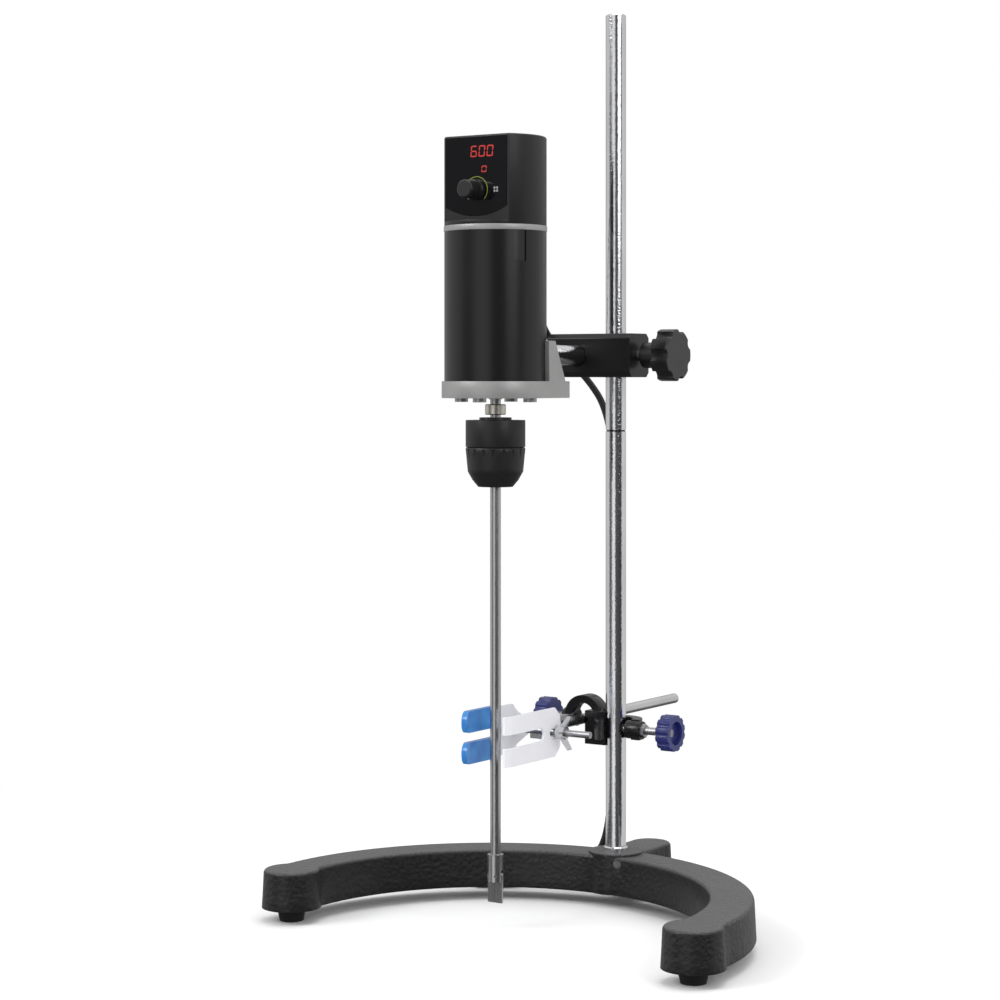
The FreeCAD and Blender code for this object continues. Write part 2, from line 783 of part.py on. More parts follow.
def make_motor():
    """The black tube, the motor inside it and the end plate, with both bearings."""
    tube = cylinder("ShellOuter", "motor_radius", "motor_height", "head_x", "head_y", "shell_bottom")
    bore = cylinder("ShellBore", "motor_radius - motor_wall", "motor_height", "head_x", "head_y",
                    "shell_bottom")
    shell_radius = number("motor_radius")
    slot = slot_cutter("SlotCut", shell_radius - 8, shell_radius + 4, 0)
    node("motor_shell", cut("MotorShell", tube, [bore, slot]))
    gap = number("seat_gap")
    face = cylinder("SlotCoverRound", "motor_radius - 1", "slot_height", "head_x", "head_y",
                    "ring_bottom - slot_height")
    hollow = cylinder("SlotCoverHollow", "motor_radius - motor_wall + seat_gap", "slot_height + 2",
                      "head_x", "head_y", "ring_bottom - slot_height - 1")
    window = slot_cutter("SlotCoverBox", shell_radius - 8, shell_radius + 4, -gap)
    node("slot_cover", common("SlotCover", [cut("SlotCoverTube", face, [hollow]), window]))
    ring = cylinder("TrimRingOuter", "ring_radius", "ring_height", "head_x", "head_y", "ring_bottom")
    ring_bore = cylinder("TrimRingBore", "motor_radius - 3 * motor_wall", "ring_height", "head_x",
                         "head_y", "ring_bottom")
    node("trim_ring", cut("TrimRing", ring, [ring_bore]))
    stator = cylinder("StatorOuter", "motor_radius - motor_wall - seat_gap", "stator_height",
                      "head_x", "head_y", "stator_start")
    stator_bore = cylinder("StatorBore", "stator_bore_radius", "stator_height", "head_x", "head_y",
                           "stator_start")
    node("motor_stator", cut("Stator", stator, [stator_bore]))
    rotor = cylinder("RotorOuter", "rotor_radius", "rotor_height", "head_x", "head_y", "stator_start + 3")
    rotor_bore = cylinder("RotorBore", "spindle_radius + seat_gap", "rotor_height", "head_x", "head_y",
                          "stator_start + 3")
    node("motor_rotor", cut("Rotor", rotor, [rotor_bore]))
    plate_body = cylinder("EndPlateOuter", "motor_radius - motor_wall - seat_gap", "end_plate_thickness",
                          "head_x", "head_y", "end_plate_level")
    plate_seat = cylinder("EndPlateSeat", "bearing_radius + seat_gap", "bearing_width", "head_x", "head_y",
                          "end_plate_level")
    plate_hole = cylinder("EndPlateHole", "spindle_radius + 1", "end_plate_thickness", "head_x", "head_y",
                          "end_plate_level")
    node("motor_end_plate", cut("EndPlate", plate_body, [plate_seat, plate_hole]))
    for name, start in (("upper_bearing", "end_plate_level"), ("lower_bearing", "flange_top - bearing_width")):
        outer = cylinder(name + "Outer", "bearing_radius", "bearing_width", "head_x", "head_y", start)
        inner = cylinder(name + "Inner", "spindle_radius + seat_gap", "bearing_width", "head_x", "head_y",
                         start)
        node(name, cut(name + "Ring", outer, [inner]))


def make_controls():
    """The control housing with its flat front, and what is mounted behind and on the panel."""
    outer = cylinder("HousingOuter", "motor_radius", "housing_height", "head_x", "head_y",
                     "housing_bottom")
    face_cut = block("HousingFaceCut", "3 * motor_radius", "motor_radius", "housing_height",
                     "head_x - 1.5 * motor_radius", "head_y - panel_face - motor_radius",
                     "housing_bottom + rim_height")
    shaped = cut("HousingShaped", outer, [face_cut])
    top = number("housing_top")
    shaped = rounded("HousingRound", shaped, "housing_round", lambda edge: level(edge, top))
    gland_boss = cylinder("GlandBoss", "gland_flange_radius + 1", "gland_boss_length",
                          "head_x - gland_left", "head_y + gland_out - gland_boss_length",
                          "gland_level", "y")
    shaped = fused("HousingBossed", [shaped, gland_boss])
    gland_seat = cylinder("HousingGlandSeat", "gland_flange_radius + running_gap", "gland_length",
                          "head_x - gland_left", "head_y + gland_out", "gland_level", "y")
    hollow = cylinder("HousingHollow", "motor_radius - housing_wall", "housing_height - housing_wall",
                      "head_x", "head_y", "housing_bottom")
    hollow_face = block("HousingHollowFace", "3 * motor_radius", "motor_radius", "housing_height",
                        "head_x - 1.5 * motor_radius", "head_y - panel_face + housing_wall - motor_radius",
                        "housing_bottom")
    inside = cut("HousingInside", hollow, [hollow_face])
    bush_hole = cylinder("HousingKnobHole", "bush_radius + seat_gap", "housing_wall + 2",
                         "head_x + knob_right", "head_y - panel_face + housing_wall + 1", "knob_level", "-y")
    recess = panel_solid("Recess", "0", "panel_recess", "seat_gap")
    gland_hole = cylinder("HousingGlandHole", "gland_radius + seat_gap", "gland_length",
                          "head_x - gland_left", "head_y + gland_out - gland_boss_length", "gland_level", "y")
    node("control_housing", cut("ControlHousing", shaped, [inside, bush_hole, recess, gland_hole, gland_seat]))
    panel = panel_solid("Panel", "panel_thickness - panel_recess", "panel_recess", "0")
    panel_hole = cylinder("PanelKnobHole", "bush_radius + seat_gap", "4", "head_x + knob_right",
                          "head_y - panel_face + 2", "knob_level", "-y")
    node("display_panel", cut("DisplayPanel", panel, [panel_hole]))
    inner_face = "head_y - panel_face + housing_wall"
    node("display_module", block("DisplayModule", "display_width", "6", "display_height",
                                 "head_x + display_right - display_width / 2",
                                 inner_face + " + seat_gap", "display_bottom"))
    board = block("BoardPlate", "board_width", "board_thickness", "board_height",
                  "head_x - board_width / 2", inner_face + " + board_gap", "panel_bottom + 2")
    pot = block("PotBody", "pot_size", "pot_depth", "pot_size", "head_x + knob_right - pot_size / 2",
                inner_face + " + seat_gap", "knob_level - pot_size / 2")
    bush = cylinder("PotBush", "bush_radius", "bush_length + housing_wall", "head_x + knob_right",
                    inner_face + " + seat_gap", "knob_level", "-y")
    pot_bore = cylinder("PotBore", "knob_shaft_radius + seat_gap", "knob_shaft_length",
                        "head_x + knob_right", inner_face + " + pot_depth - 1", "knob_level", "-y")
    pot = cut("Potentiometer", fused("PotSolid", [pot, bush]), [pot_bore])
    node("control_board", group("ControlBoard", [board, pot]))
    shaft_end = "head_y - panel_face - knob_stand_off - panel_thickness - knob_length + 5"
    node("knob_shaft", cylinder("KnobShaft", "knob_shaft_radius",
                                inner_face + " + pot_depth - 2 - (" + shaft_end + ")",
                                "head_x + knob_right", inner_face + " + pot_depth - 2", "knob_level", "-y"))
    knob = turned("SpeedKnob", [
        ("knob_shaft_radius + 0.05", "bush_length"),
        ("bush_radius + running_gap + 0.2", "bush_length"),
        ("bush_radius + running_gap + 0.2", "0"),
        ("knob_skirt_radius", "0"),
        ("knob_skirt_radius", "2.5"),
        ("knob_radius", "3.5"),
        ("knob_radius - 0.3", "knob_length - 1"),
        ("knob_radius - 1.3", "knob_length"),
        ("0", "knob_length"),
        ("0", "knob_length - 3.6"),
        ("knob_shaft_radius + 0.05", "knob_length - 3.6"),
    ])
    place(knob, "head_x + knob_right", "head_y - panel_face - panel_thickness + panel_recess - knob_stand_off",
          "knob_level", "-y")
    node("speed_knob", knob)
    gland = turned("Gland", [
        ("cord_radius", "-6"),
        ("gland_radius", "-6"),
        ("gland_radius", "0"),
        ("gland_flange_radius", "0"),
        ("gland_flange_radius", "gland_flange_width"),
        ("gland_radius - 1", "gland_flange_width"),
        ("cord_radius + 1.2", "gland_length"),
        ("cord_radius", "gland_length"),
    ])
    place(gland, "head_x - gland_left", "head_y + gland_out", "gland_level", "y")
    node("cord_gland", gland)


def panel_solid(name, proud, deep, grow):
    """The panel's plate: a rectangle with a bowed lower edge, set into the flat face."""
    left = "head_x - panel_width / 2 - " + grow
    plain = block(name + "Plate", "panel_width + 2 * " + grow, proud + " + " + deep,
                  "housing_top - panel_top_margin - panel_bottom + 2 * " + grow,
                  left, "head_y - panel_face - (" + proud + ")", "panel_bottom - " + grow)
    bow_radius = "(panel_width ^ 2 / 4 + panel_sag ^ 2) / (2 * panel_sag) + " + grow
    bow = cylinder(name + "Bow", bow_radius, "20", "head_x",
                   "head_y - panel_face + 10",
                   "panel_bottom - " + grow + " + " + bow_radius, "-y")
    return common(name + "Shape", [plain, bow])


def make_drive():
    """Spindle, nickel collar and keyless chuck with its three jaws."""
    node("output_spindle", turned("Spindle", [
        ("0", "spindle_end"),
        ("neck_radius", "spindle_end"),
        ("neck_radius", "flange_bottom - 1"),
        ("spindle_radius", "flange_bottom - 1"),
        ("spindle_radius", "spindle_head"),
        ("0", "spindle_head"),
    ], "head_x", "head_y"))
    node("spindle_collar", turned("NickelCollar", [
        ("neck_radius + 0.05", "nickel_bottom"),
        ("nickel_radius - 0.6", "nickel_bottom"),
        ("nickel_radius", "nickel_bottom + 0.6"),
        ("nickel_radius", "nickel_top - 0.6"),
        ("nickel_radius - 0.6", "nickel_top"),
        ("neck_radius + 0.05", "nickel_top"),
    ], "head_x", "head_y"))
    core = turned("ChuckCore", [
        ("shaft_radius + running_gap", "chuck_bottom + 1"),
        ("chuck_nose_radius - 2.5", "chuck_bottom + 1"),
        ("chuck_core_radius - 0.5", "chuck_bottom + 8"),
        ("chuck_core_radius - 0.5", "chuck_split"),
        ("chuck_radius", "chuck_split + 0.4"),
        ("chuck_radius", "chuck_top - chuck_cap_height"),
        ("chuck_cap_radius", "chuck_top - chuck_cap_height"),
        ("chuck_cap_radius", "chuck_top"),
        ("neck_radius + 0.05", "chuck_top"),
        ("neck_radius + 0.05", "spindle_end - 1"),
        ("shaft_radius + running_gap", "spindle_end - 1"),
    ], "head_x", "head_y")
    slots = []
    for index in range(3):
        slots.append(jaw_box("JawSlot" + str(index), index, number("seat_gap"),
                             number("jaw_travel") + 0.3))
    node("chuck_body", cut("ChuckBody", core, slots))
    sleeve = turned("ChuckSleeve", [
        ("chuck_core_radius", "chuck_bottom + 8.6"),
        ("chuck_nose_radius - 2", "chuck_bottom + 0.6"),
        ("chuck_nose_radius - 1", "chuck_bottom"),
        ("chuck_nose_radius", "chuck_bottom"),
        ("chuck_waist_radius - 3.5", "chuck_bottom + 5"),
        ("chuck_waist_radius", "chuck_waist"),
        ("chuck_radius", "chuck_split - 1"),
        ("chuck_radius - 0.6", "chuck_split"),
        ("chuck_core_radius", "chuck_split"),
    ], "head_x", "head_y")
    flutes = []
    count = int(number("sleeve_flutes"))
    for index in range(count):
        angle = str(360.0 * index / count)
        flutes.append(cylinder("Flute" + str(index), "flute_radius", "chuck_split - chuck_waist - 4",
                               "head_x + (chuck_radius + 0.2) * cos(" + angle + "deg)",
                               "head_y + (chuck_radius + 0.2) * sin(" + angle + "deg)", "chuck_waist + 3"))
    node("chuck_sleeve", cut("ChuckSleeveFluted", sleeve, flutes))
    for index in range(3):
        jaw = jaw_box("Jaw" + str(index), index, 0, 0)
        clear = cylinder("JawClear" + str(index), "shaft_radius + 0.05", "60", "head_x", "head_y", "300")
        node("chuck_jaw_" + "abc"[index], cut("ChuckJaw" + str(index), jaw, [clear]))


def jaw_box(name, index, margin, travel):
    """A jaw, or the slot that it slides in, that reaches out from the shaft."""
    wide = number("jaw_width") + 2 * margin
    piece = doc.addObject("Part::Box", name)
    piece.Length = number("jaw_reach") + number("shaft_radius") - 2 + travel
    piece.Width = wide
    piece.Height = number("jaw_height") + 2 * margin
    turn = FreeCAD.Rotation(V(0, 0, 1), 90 + 120 * index)
    start = turn.multVec(V(2, -wide / 2, 0))
    base = V(number("head_x"), number("head_y"), number("jaw_bottom") - margin)
    piece.Placement = FreeCAD.Placement(base + start, turn)
    return piece


def make_stirrer():
    """The stir shaft and the impeller with two hinged blades, which hang folded."""
    node("stir_shaft", cylinder("StirShaft", "shaft_radius", "shaft_top - shaft_bottom", "head_x",
                                "head_y", "shaft_bottom"))
    hub = cylinder("HubBody", "hub_radius", "hub_height", "head_x", "head_y", "hub_bottom")
    tools = [
        cylinder("HubBore", "shaft_radius + 0.05", "hub_height", "head_x", "head_y", "shaft_bottom"),
        block("HubSlot", "3 * hub_radius", "blade_thickness + 2 * running_gap",
              "shaft_bottom - hub_bottom - 0.6", "head_x - 1.5 * hub_radius",
              "head_y - blade_thickness / 2 - running_gap", "hub_bottom"),
    ]
    pins = []
    for name, sign in (("Left", "-"), ("Right", "+")):
        x = "head_x " + sign + " blade_pin_offset"
        tools.append(cylinder("PinHole" + name, "blade_pin_radius + 0.05", "3 * hub_radius", x,
                              "head_y - 1.5 * hub_radius", "blade_pin_level", "y"))
        pins.append(cylinder("BladePin" + name, "blade_pin_radius", "2 * blade_pin_reach", x,
                             "head_y - blade_pin_reach", "blade_pin_level", "y"))
        eye = cylinder("BladeEye" + name, "blade_width / 2", "blade_thickness", x,
                       "head_y - blade_thickness / 2", "blade_pin_level", "y")
        paddle = block("BladePaddle" + name, "blade_width", "blade_thickness", "blade_reach",
                       x + " - blade_width / 2", "head_y - blade_thickness / 2",
                       "blade_pin_level - blade_reach")
        hole = cylinder("BladeHole" + name, "blade_pin_radius + 0.15", "2 * blade_thickness", x,
                        "head_y - blade_thickness", "blade_pin_level", "y")
        node("impeller_blade_" + name.lower(), cut("Blade" + name, fused("BladeBody" + name, [eye, paddle]),
                                                   [hole]))
    node("impeller_hub", cut("ImpellerHub", hub, tools))
    node("blade_pins", group("BladePins", pins))


def vee(name, side, turn, x, y, z):
    """A square bar on its edge, which cuts a vee along its own length."""
    cutter = doc.addObject("Part::Box", name)
    bind(cutter, Length=side, Width="2 * vee_plate_height", Height=side)
    if turn == "upright":
        bind(cutter, Width=side, Height="2 * vee_plate_height")
    place(cutter, x, y, z)
    spin = FreeCAD.Rotation(V(0, 1, 0), 225)
    if turn == "upright":
        spin = FreeCAD.Rotation(V(0, 0, 1), -45)
    cutter.Placement = FreeCAD.Placement(cutter.Placement.Base, spin)
    return cutter


def make_boss_head():
    """The boss head: a vee plate between two hooks, one round the rod and one over the arm."""
    plate_body = block("VeePlate", "head_left_of_rod - 3 - vee_mouth", "vee_plate_depth",
                       "vee_plate_height", "3 - head_left_of_rod", "rod_y - vee_plate_depth / 2",
                       "rod_clamp_level - vee_plate_height / 2")
    hook = cylinder("HookOuter", "hook_outer", "hook_height", "2", "rod_y",
                    "rod_clamp_level - hook_height / 2")
    hook_tools = [
        cylinder("HookInner", "hook_inner", "hook_height", "2", "rod_y",
                 "rod_clamp_level - hook_height / 2"),
        block("HookMouth", "2 * hook_outer", "2 * hook_outer", "hook_height", "-vee_mouth",
              "rod_y - nut_boss_radius - 2 * hook_outer", "rod_clamp_level - hook_height / 2"),
        block("HookFront", "2 * hook_outer", "hook_outer", "hook_height",
              "-vee_mouth", "rod_y - hook_outer", "rod_clamp_level - hook_height / 2"),
    ]
    hook = cut("Hook", hook, hook_tools)
    rod_nut = cylinder("RodNutBoss", "nut_boss_radius", "rod_nut_end - rod_nut_start", "rod_nut_start",
                       "rod_y", "rod_clamp_level", "x")
    arch = cylinder("ArchOuter", "arch_outer", "arch_depth", "head_x", "rod_y - arch_depth / 2",
                    "arch_level", "y")
    arch_tools = [
        cylinder("ArchInner", "arch_inner", "arch_depth", "head_x", "rod_y - arch_depth / 2",
                 "arch_level", "y"),
        block("ArchMouth", "2 * arch_inner", "arch_depth", "arch_outer", "head_x - arch_inner",
              "rod_y - arch_depth / 2", "arch_level - arch_outer"),
        block("ArchFoot", "arch_outer", "arch_depth", "arch_outer", "head_x - arch_outer",
              "rod_y - arch_depth / 2", "arm_level - nut_boss_radius / 2 - arch_outer"),
    ]
    arch = cut("Arch", arch, arch_tools)
    arm_nut = cylinder("ArmNutBoss", "nut_boss_radius", "arm_nut_end - arm_nut_start", "-arm_nut_end",
                       "rod_y", "arm_level", "x")
    body = fused("BossHeadBody", [plate_body, hook, rod_nut, arch, arm_nut])
    tools = [
        vee("RodVee", "rod_vee_side", "upright", "-(rod_radius + slide_gap) * sqrt(2)", "rod_y",
            "rod_clamp_level - vee_plate_height"),
        vee("ArmVee", "arm_vee_side", "level", "head_x + (arm_radius + slide_gap) * sqrt(2)", "rod_y - vee_plate_height",
            "arm_level"),
        cylinder("RodScrewHole", "hand_screw_radius + seat_gap", "2 * rod_nut_end", "0", "rod_y",
                 "rod_clamp_level", "x"),
        cylinder("ArmScrewHole", "hand_screw_radius + seat_gap", "arm_nut_end", "-2 * arm_nut_end + 20",
                 "rod_y", "arm_level", "x"),
    ]
    node("boss_head", cut("BossHead", body, tools))
    node("rod_clamp_screw", cylinder("RodClampScrew", "hand_screw_radius",
                                     "rod_knob_start + hand_knob_thickness - knob_recess_depth"
                                     " - rod_radius - running_gap", "rod_radius + running_gap", "rod_y",
                                     "rod_clamp_level", "x"))
    node("arm_clamp_screw", cylinder("ArmClampScrew", "hand_screw_radius",
                                     "arm_knob_start + hand_knob_thickness - knob_recess_depth"
                                     " - head_left_of_rod - arm_radius - running_gap",
                                     "-arm_knob_start - hand_knob_thickness + knob_recess_depth",
                                     "rod_y", "arm_level", "x"))
    node("rod_clamp_knob", hand_knob("RodKnob", "rod_knob_start", "rod_clamp_level", "x"))
    node("arm_clamp_knob", hand_knob("ArmKnob", "-arm_knob_start", "arm_level", "-x"))
    nut = doc.addObject("Part::Prism", "LockNutHex")
    nut.Polygon = 6
    bind(nut, Circumradius="hand_screw_radius * 1.8", Height="hand_screw_radius")
    place(nut, "rod_nut_end + 0.05", "rod_y", "rod_clamp_level", "x")
    bore = cylinder("LockNutBore", "hand_screw_radius + seat_gap", "2 * hand_screw_radius", "rod_nut_end",
                    "rod_y", "rod_clamp_level", "x")
    node("rod_clamp_locknut", cut("LockNut", nut, [bore]))


def hand_knob(name, start, height, along):
    """A scalloped hand knob with a dished face."""
    head = cylinder(name + "Head", "hand_knob_radius", "hand_knob_thickness", start, "rod_y", height, along)
    side = "" if along == "x" else "-"
    far = "(" + start + ") + (" + side + "(hand_knob_thickness - knob_recess_depth))"
    tools = [
        cylinder(name + "Dish", "knob_recess_radius", "knob_recess_depth", far, "rod_y", height, along),
        cylinder(name + "Bore", "hand_screw_radius + 0.05", "hand_knob_thickness", start, "rod_y", height,
                 along),
    ]
    count = int(number("hand_knob_scallops"))
    for index in range(count):
        angle = str(360.0 * index / count)
        reach = "(hand_knob_radius + scallop_radius * 0.45)"
        tools.append(cylinder(name + "Scallop" + str(index), "scallop_radius", "hand_knob_thickness",
                              start, "rod_y + " + reach + " * cos(" + angle + "deg)",
                              height + " + " + reach + " * sin(" + angle + "deg)", along))
    return cut(name, head, tools)


def make_flask_clamp():
    """The arm, its yoke, the fixed far jaw, the hinged near jaw and the wing nut on its stud."""
    node("clamp_arm", cylinder("ClampArm", "arm_radius", "arm_rear_reach + yoke_ahead_of_rod - 5",
                               "head_x", "pivot_y + 5", "arm_level", "y"))
    yoke = block("YokeBody", "yoke_width", "yoke_length", "yoke_height", "head_x - yoke_width / 2",
                 "pivot_y - yoke_length / 2 + 1", "arm_level - yoke_height / 2")
    yoke_socket = cylinder("YokeSocket", "arm_radius + 3", "yoke_length / 2 + 4", "head_x", "pivot_y + 6",
                           "arm_level", "y")
    slot = block("YokeSlot", "2 * yoke_width", "yoke_length", "knuckle_height + 2 * running_gap",
                 "head_x - yoke_width", "pivot_y - yoke_length + 5 - running_gap",
                 "arm_level - knuckle_height / 2 - running_gap")
    bore = cylinder("YokeBore", "arm_radius + 0.05", "yoke_length * 2", "head_x", "pivot_y + 5",
                    "arm_level", "y")
    tools = [slot, bore]
    pins = []
    for name, sign in (("Left", "-"), ("Right", "+")):
        x = "head_x " + sign + " jaw_pivot_offset"
        tools.append(cylinder("JawPinHole" + name, "jaw_pin_radius + 0.05", "yoke_height", x, "pivot_y",
                              "arm_level - yoke_height / 2"))
        pins.append(cylinder("JawPin" + name, "jaw_pin_radius", "yoke_height + 2", x, "pivot_y",
                             "arm_level - yoke_height / 2 - 1"))
    node("clamp_yoke", cut("Yoke", fused("YokeSolid", [yoke, yoke_socket]), tools))
    node("jaw_pins", group("JawPins", pins))
    node("near_jaw", jaw("NearJaw", 1))
    far = round_tipped("FarJawTips", jaw("FarJaw", -1), "jaw_tip_round", number("jaw_length"))
    node("far_jaw", far)
    node("jaw_sleeves", jaw_sleeves(far))
    stud_y = "pivot_y - stud_ahead_of_pivot"
    shank = cylinder("StudShank", "stud_radius", "2 * (jaw_gap_half + jaw_plate) + stud_tail + 1",
                     "head_x - jaw_gap_half - jaw_plate - 1", stud_y, "arm_level", "x")
    head = cylinder("StudHead", "stud_radius * 1.8", "2.5", "head_x - jaw_gap_half - jaw_plate - 2.5",
                    stud_y, "arm_level", "x")
    node("jaw_stud", fused("JawStud", [shank, head]))
    washer = cone("WasherBody", "stud_radius + 0.6", "wing_hub_radius", "washer_thickness",
                  "head_x + jaw_gap_half + jaw_plate + washer_gap", stud_y, "arm_level", "x")
    washer_bore = cylinder("WasherBore", "stud_radius + slide_gap", "2 * washer_thickness",
                           "head_x + jaw_gap_half + jaw_plate", stud_y, "arm_level", "x")
    node("jaw_washer", cut("JawWasher", washer, [washer_bore]))
    start = "head_x + jaw_gap_half + jaw_plate + washer_gap + washer_thickness + slide_gap"
    hub = cylinder("WingHub", "wing_hub_radius", "wing_hub_length", start, stud_y, "arm_level", "x")
    wings = []
    for name, sign in (("Upper", ""), ("Lower", "-")):
        wings.append(plate("Wing" + name, "XZ_Plane", [
            ("1", sign + "(stud_radius + 1)"),
            ("wing_hub_length + 2", sign + "wing_span"),
            ("wing_hub_length + 5", sign + "(wing_span - 1)"),
            ("wing_hub_length", sign + "(stud_radius + 1)"),
        ], "wing_thickness", start, stud_y, "arm_level", middle=True))
    wing_bore = cylinder("WingBore", "stud_radius + slide_gap", "3 * wing_hub_length", start, stud_y,
                         "arm_level", "x")
    node("wing_nut", cut("WingNut", fused("WingSolid", [hub] + wings), [wing_bore]))


def jaw(name, side):
    """A clamp jaw: a bent strip seen from above, cut to a slotted fork seen from the side."""
    sign = "" if side > 0 else "-"
    strip = plate(name + "Strip", "XY_Plane", [
        (sign + "(jaw_pivot_offset - jaw_plate / 2)", "0"),
        (sign + "jaw_gap_half", "-jaw_shoulder"),
        (sign + "jaw_gap_half", "-jaw_length + 6"),
        (sign + "(jaw_gap_half - 2)", "-jaw_length"),
        (sign + "(jaw_gap_half - 2 + jaw_plate)", "-jaw_length"),
        (sign + "(jaw_gap_half + jaw_plate)", "-jaw_length + 6"),
        (sign + "(jaw_gap_half + jaw_plate)", "-jaw_shoulder + 1"),
        (sign + "(jaw_pivot_offset + jaw_plate / 2)", "0"),
    ], "jaw_total_height", "head_x", "pivot_y", "arm_level", middle=True)
    side_view = plate(name + "Side", "YZ_Plane", [
        ("5", "-knuckle_height / 2"),
        ("-yoke_length / 2", "-knuckle_height / 2"),
        ("-jaw_shoulder - 6", "-jaw_total_height / 2"),
        ("-jaw_length - 1", "-jaw_total_height / 2"),
        ("-jaw_length - 1", "jaw_total_height / 2"),
        ("-jaw_shoulder - 6", "jaw_total_height / 2"),
        ("-yoke_length / 2", "knuckle_height / 2"),
        ("5", "knuckle_height / 2"),
    ], "4 * jaw_gap_half", "head_x", "pivot_y", "arm_level", middle=True)
    knuckle = cylinder(name + "Knuckle", "jaw_pin_radius + 1.8", "knuckle_height",
                       "head_x + " + str(side) + " * jaw_pivot_offset", "pivot_y",
                       "arm_level - knuckle_height / 2")
    shaped = fused(name + "Solid", [common(name + "Cross", [strip, side_view]), knuckle])
    tools = [
        block(name + "Slot", "4 * jaw_gap_half", "jaw_slot_length + 2", "jaw_slot_height",
              "head_x - 2 * jaw_gap_half", "pivot_y - jaw_length - 2", "arm_level - jaw_slot_height / 2"),
        cylinder(name + "SlotEnd", "jaw_slot_height / 2", "4 * jaw_gap_half", "head_x - 2 * jaw_gap_half",
                 "pivot_y - jaw_length + jaw_slot_length", "arm_level", "x"),
        cylinder(name + "PinBore", "jaw_pin_radius + 0.15", "2 * knuckle_height",
                 "head_x + " + str(side) + " * jaw_pivot_offset", "pivot_y", "arm_level - knuckle_height"),
    ]
    across = "head_x" if side > 0 else "head_x - 4 * jaw_gap_half"
    if side < 0:
        tools.append(cylinder(name + "StudHole", "stud_radius + 0.05", "4 * jaw_gap_half", across,
                              "pivot_y - stud_ahead_of_pivot", "arm_level", "x"))
    else:
        radius = "stud_radius + 2 * slide_gap"
        for end, shift in (("Ahead", "- stud_slot_ahead"), ("Behind", "+ stud_slot_behind")):
            tools.append(cylinder(name + "StudSlot" + end, radius, "4 * jaw_gap_half", across,
                                  "pivot_y - stud_ahead_of_pivot " + shift, "arm_level", "x"))
        tools.append(block(name + "StudSlot", "4 * jaw_gap_half", "stud_slot_ahead + stud_slot_behind",
                           "2 * (" + radius + ")", across,
                           "pivot_y - stud_ahead_of_pivot - stud_slot_ahead", "arm_level - (" + radius + ")"))
    return cut(name, shaped, tools)


def round_tipped(name, prongs, radius, reach):
    """Rounds the tips of two prongs that end at a distance ahead of the pivot."""
    tip = number("pivot_y") - reach
    return rounded(name, prongs, radius, lambda edge: lies_at(edge, "Y", tip)
                   and edge.BoundBox.ZLength < 0.01)


def jaw_sleeves(far):
    """Blue coats on the two prongs of the far jaw, with rounded tips."""
    coat = plate("SleeveStrip", "XY_Plane", [
        ("-(jaw_gap_half - pad_coat)", "-jaw_length + pad_coat_length"),
        ("-(jaw_gap_half - pad_coat)", "-jaw_length + 6"),
        ("-(jaw_gap_half - 2 - pad_coat)", "-jaw_length - pad_coat"),
        ("-(jaw_gap_half - 2 + jaw_plate + pad_coat)", "-jaw_length - pad_coat"),
        ("-(jaw_gap_half + jaw_plate + pad_coat)", "-jaw_length + 6"),
        ("-(jaw_gap_half + jaw_plate + pad_coat)", "-jaw_length + pad_coat_length"),
    ], "jaw_total_height + 2 * pad_coat", "head_x", "pivot_y", "arm_level", middle=True)
    mouth = block("SleeveMouth", "4 * jaw_gap_half", "2 * jaw_length", "jaw_slot_height - 2 * pad_coat",
                  "head_x - 2 * jaw_gap_half", "pivot_y - 2 * jaw_length",
                  "arm_level - jaw_slot_height / 2 + pad_coat")
    prongs = round_tipped("SleeveTips", cut("SleeveProngs", coat, [mouth]), "coat_tip_round",
                          number("jaw_length") + number("pad_coat"))
    return cut("JawSleeves", prongs, [far])


def make_cord():
    """The free cord: a tube down to the bench, a flat coil there and the plug inside the coil."""
    node("power_cord", cord_tube())
    coil_outer = cylinder("CoilOuter", "coil_outer", "coil_height", "coil_x", "coil_y", "coil_lift")
    coil_inner = cylinder("CoilInner", "coil_outer - coil_band", "coil_height", "coil_x", "coil_y",
                          "coil_lift")
    node("cord_coil", cut("CordCoil", coil_outer, [coil_inner]))
    body = block("PlugBody", "plug_length", "plug_width", "plug_height",
                 "coil_x - plug_from_coil - plug_length", "lead_y - plug_width / 2", "coil_lift")
    body = rounded("PlugRound", body, "plug_round",
                   lambda edge: abs(edge.Length - number("plug_length")) < 0.01)
    tail = cone("PlugTail", "cord_radius + 0.6", "cord_radius + 2", "plug_tail_length",
                "coil_x - plug_from_coil + plug_tail_length", "lead_y", "lead_level", "-x")
    lead = cylinder("PlugLead", "cord_radius", "plug_from_coil - coil_band", "coil_x - coil_band",
                    "lead_y", "lead_level", "-x")
    blades = []
    for name, sign in (("Left", "-"), ("Right", "+")):
        blades.append(block("PlugBlade" + name, "plug_blade_length", "1.5", "6.3",
                            "coil_x - plug_from_coil - plug_length - plug_blade_length",
                            "lead_y " + sign + " 6.35 - 0.75", "lead_level - 3.15"))
    ring = cylinder("CoilClear", "coil_outer", "2 * coil_height", "coil_x", "coil_y", "coil_lift")
    node("cord_plug", cut("CordPlug", fused("PlugSolid", [body, tail, lead] + blades), [ring]))


CORD_ROUTE = [
    (-42.5, None, 545),
    (-42.5, -28, 545),
    (-46, -6, 533),
    (-53, 6, 505),
    (-60, 14, 474),
    (-64, 29, 449),
    (-63, 49, 434),
    (-58, 67, 420),
    (-46, 73, 405),
    (-34, 74, 388),
    (-26, 74, 358),
    (-30, 82, 322),
    (-37, 92, 286),
    (-41, 97, 245),
    (-42.5, 99, 190),
    (-43, 99.5, 133),
    (-42.5, 99, 82),
    (-43.5, 98, 54),
    (-48, 97, 31),
    (-59, 94.5, 14),
    (-71, 87, 5.6),
    (-81, 74, 3.4),
    (-84.5, 58, 2.95),
]


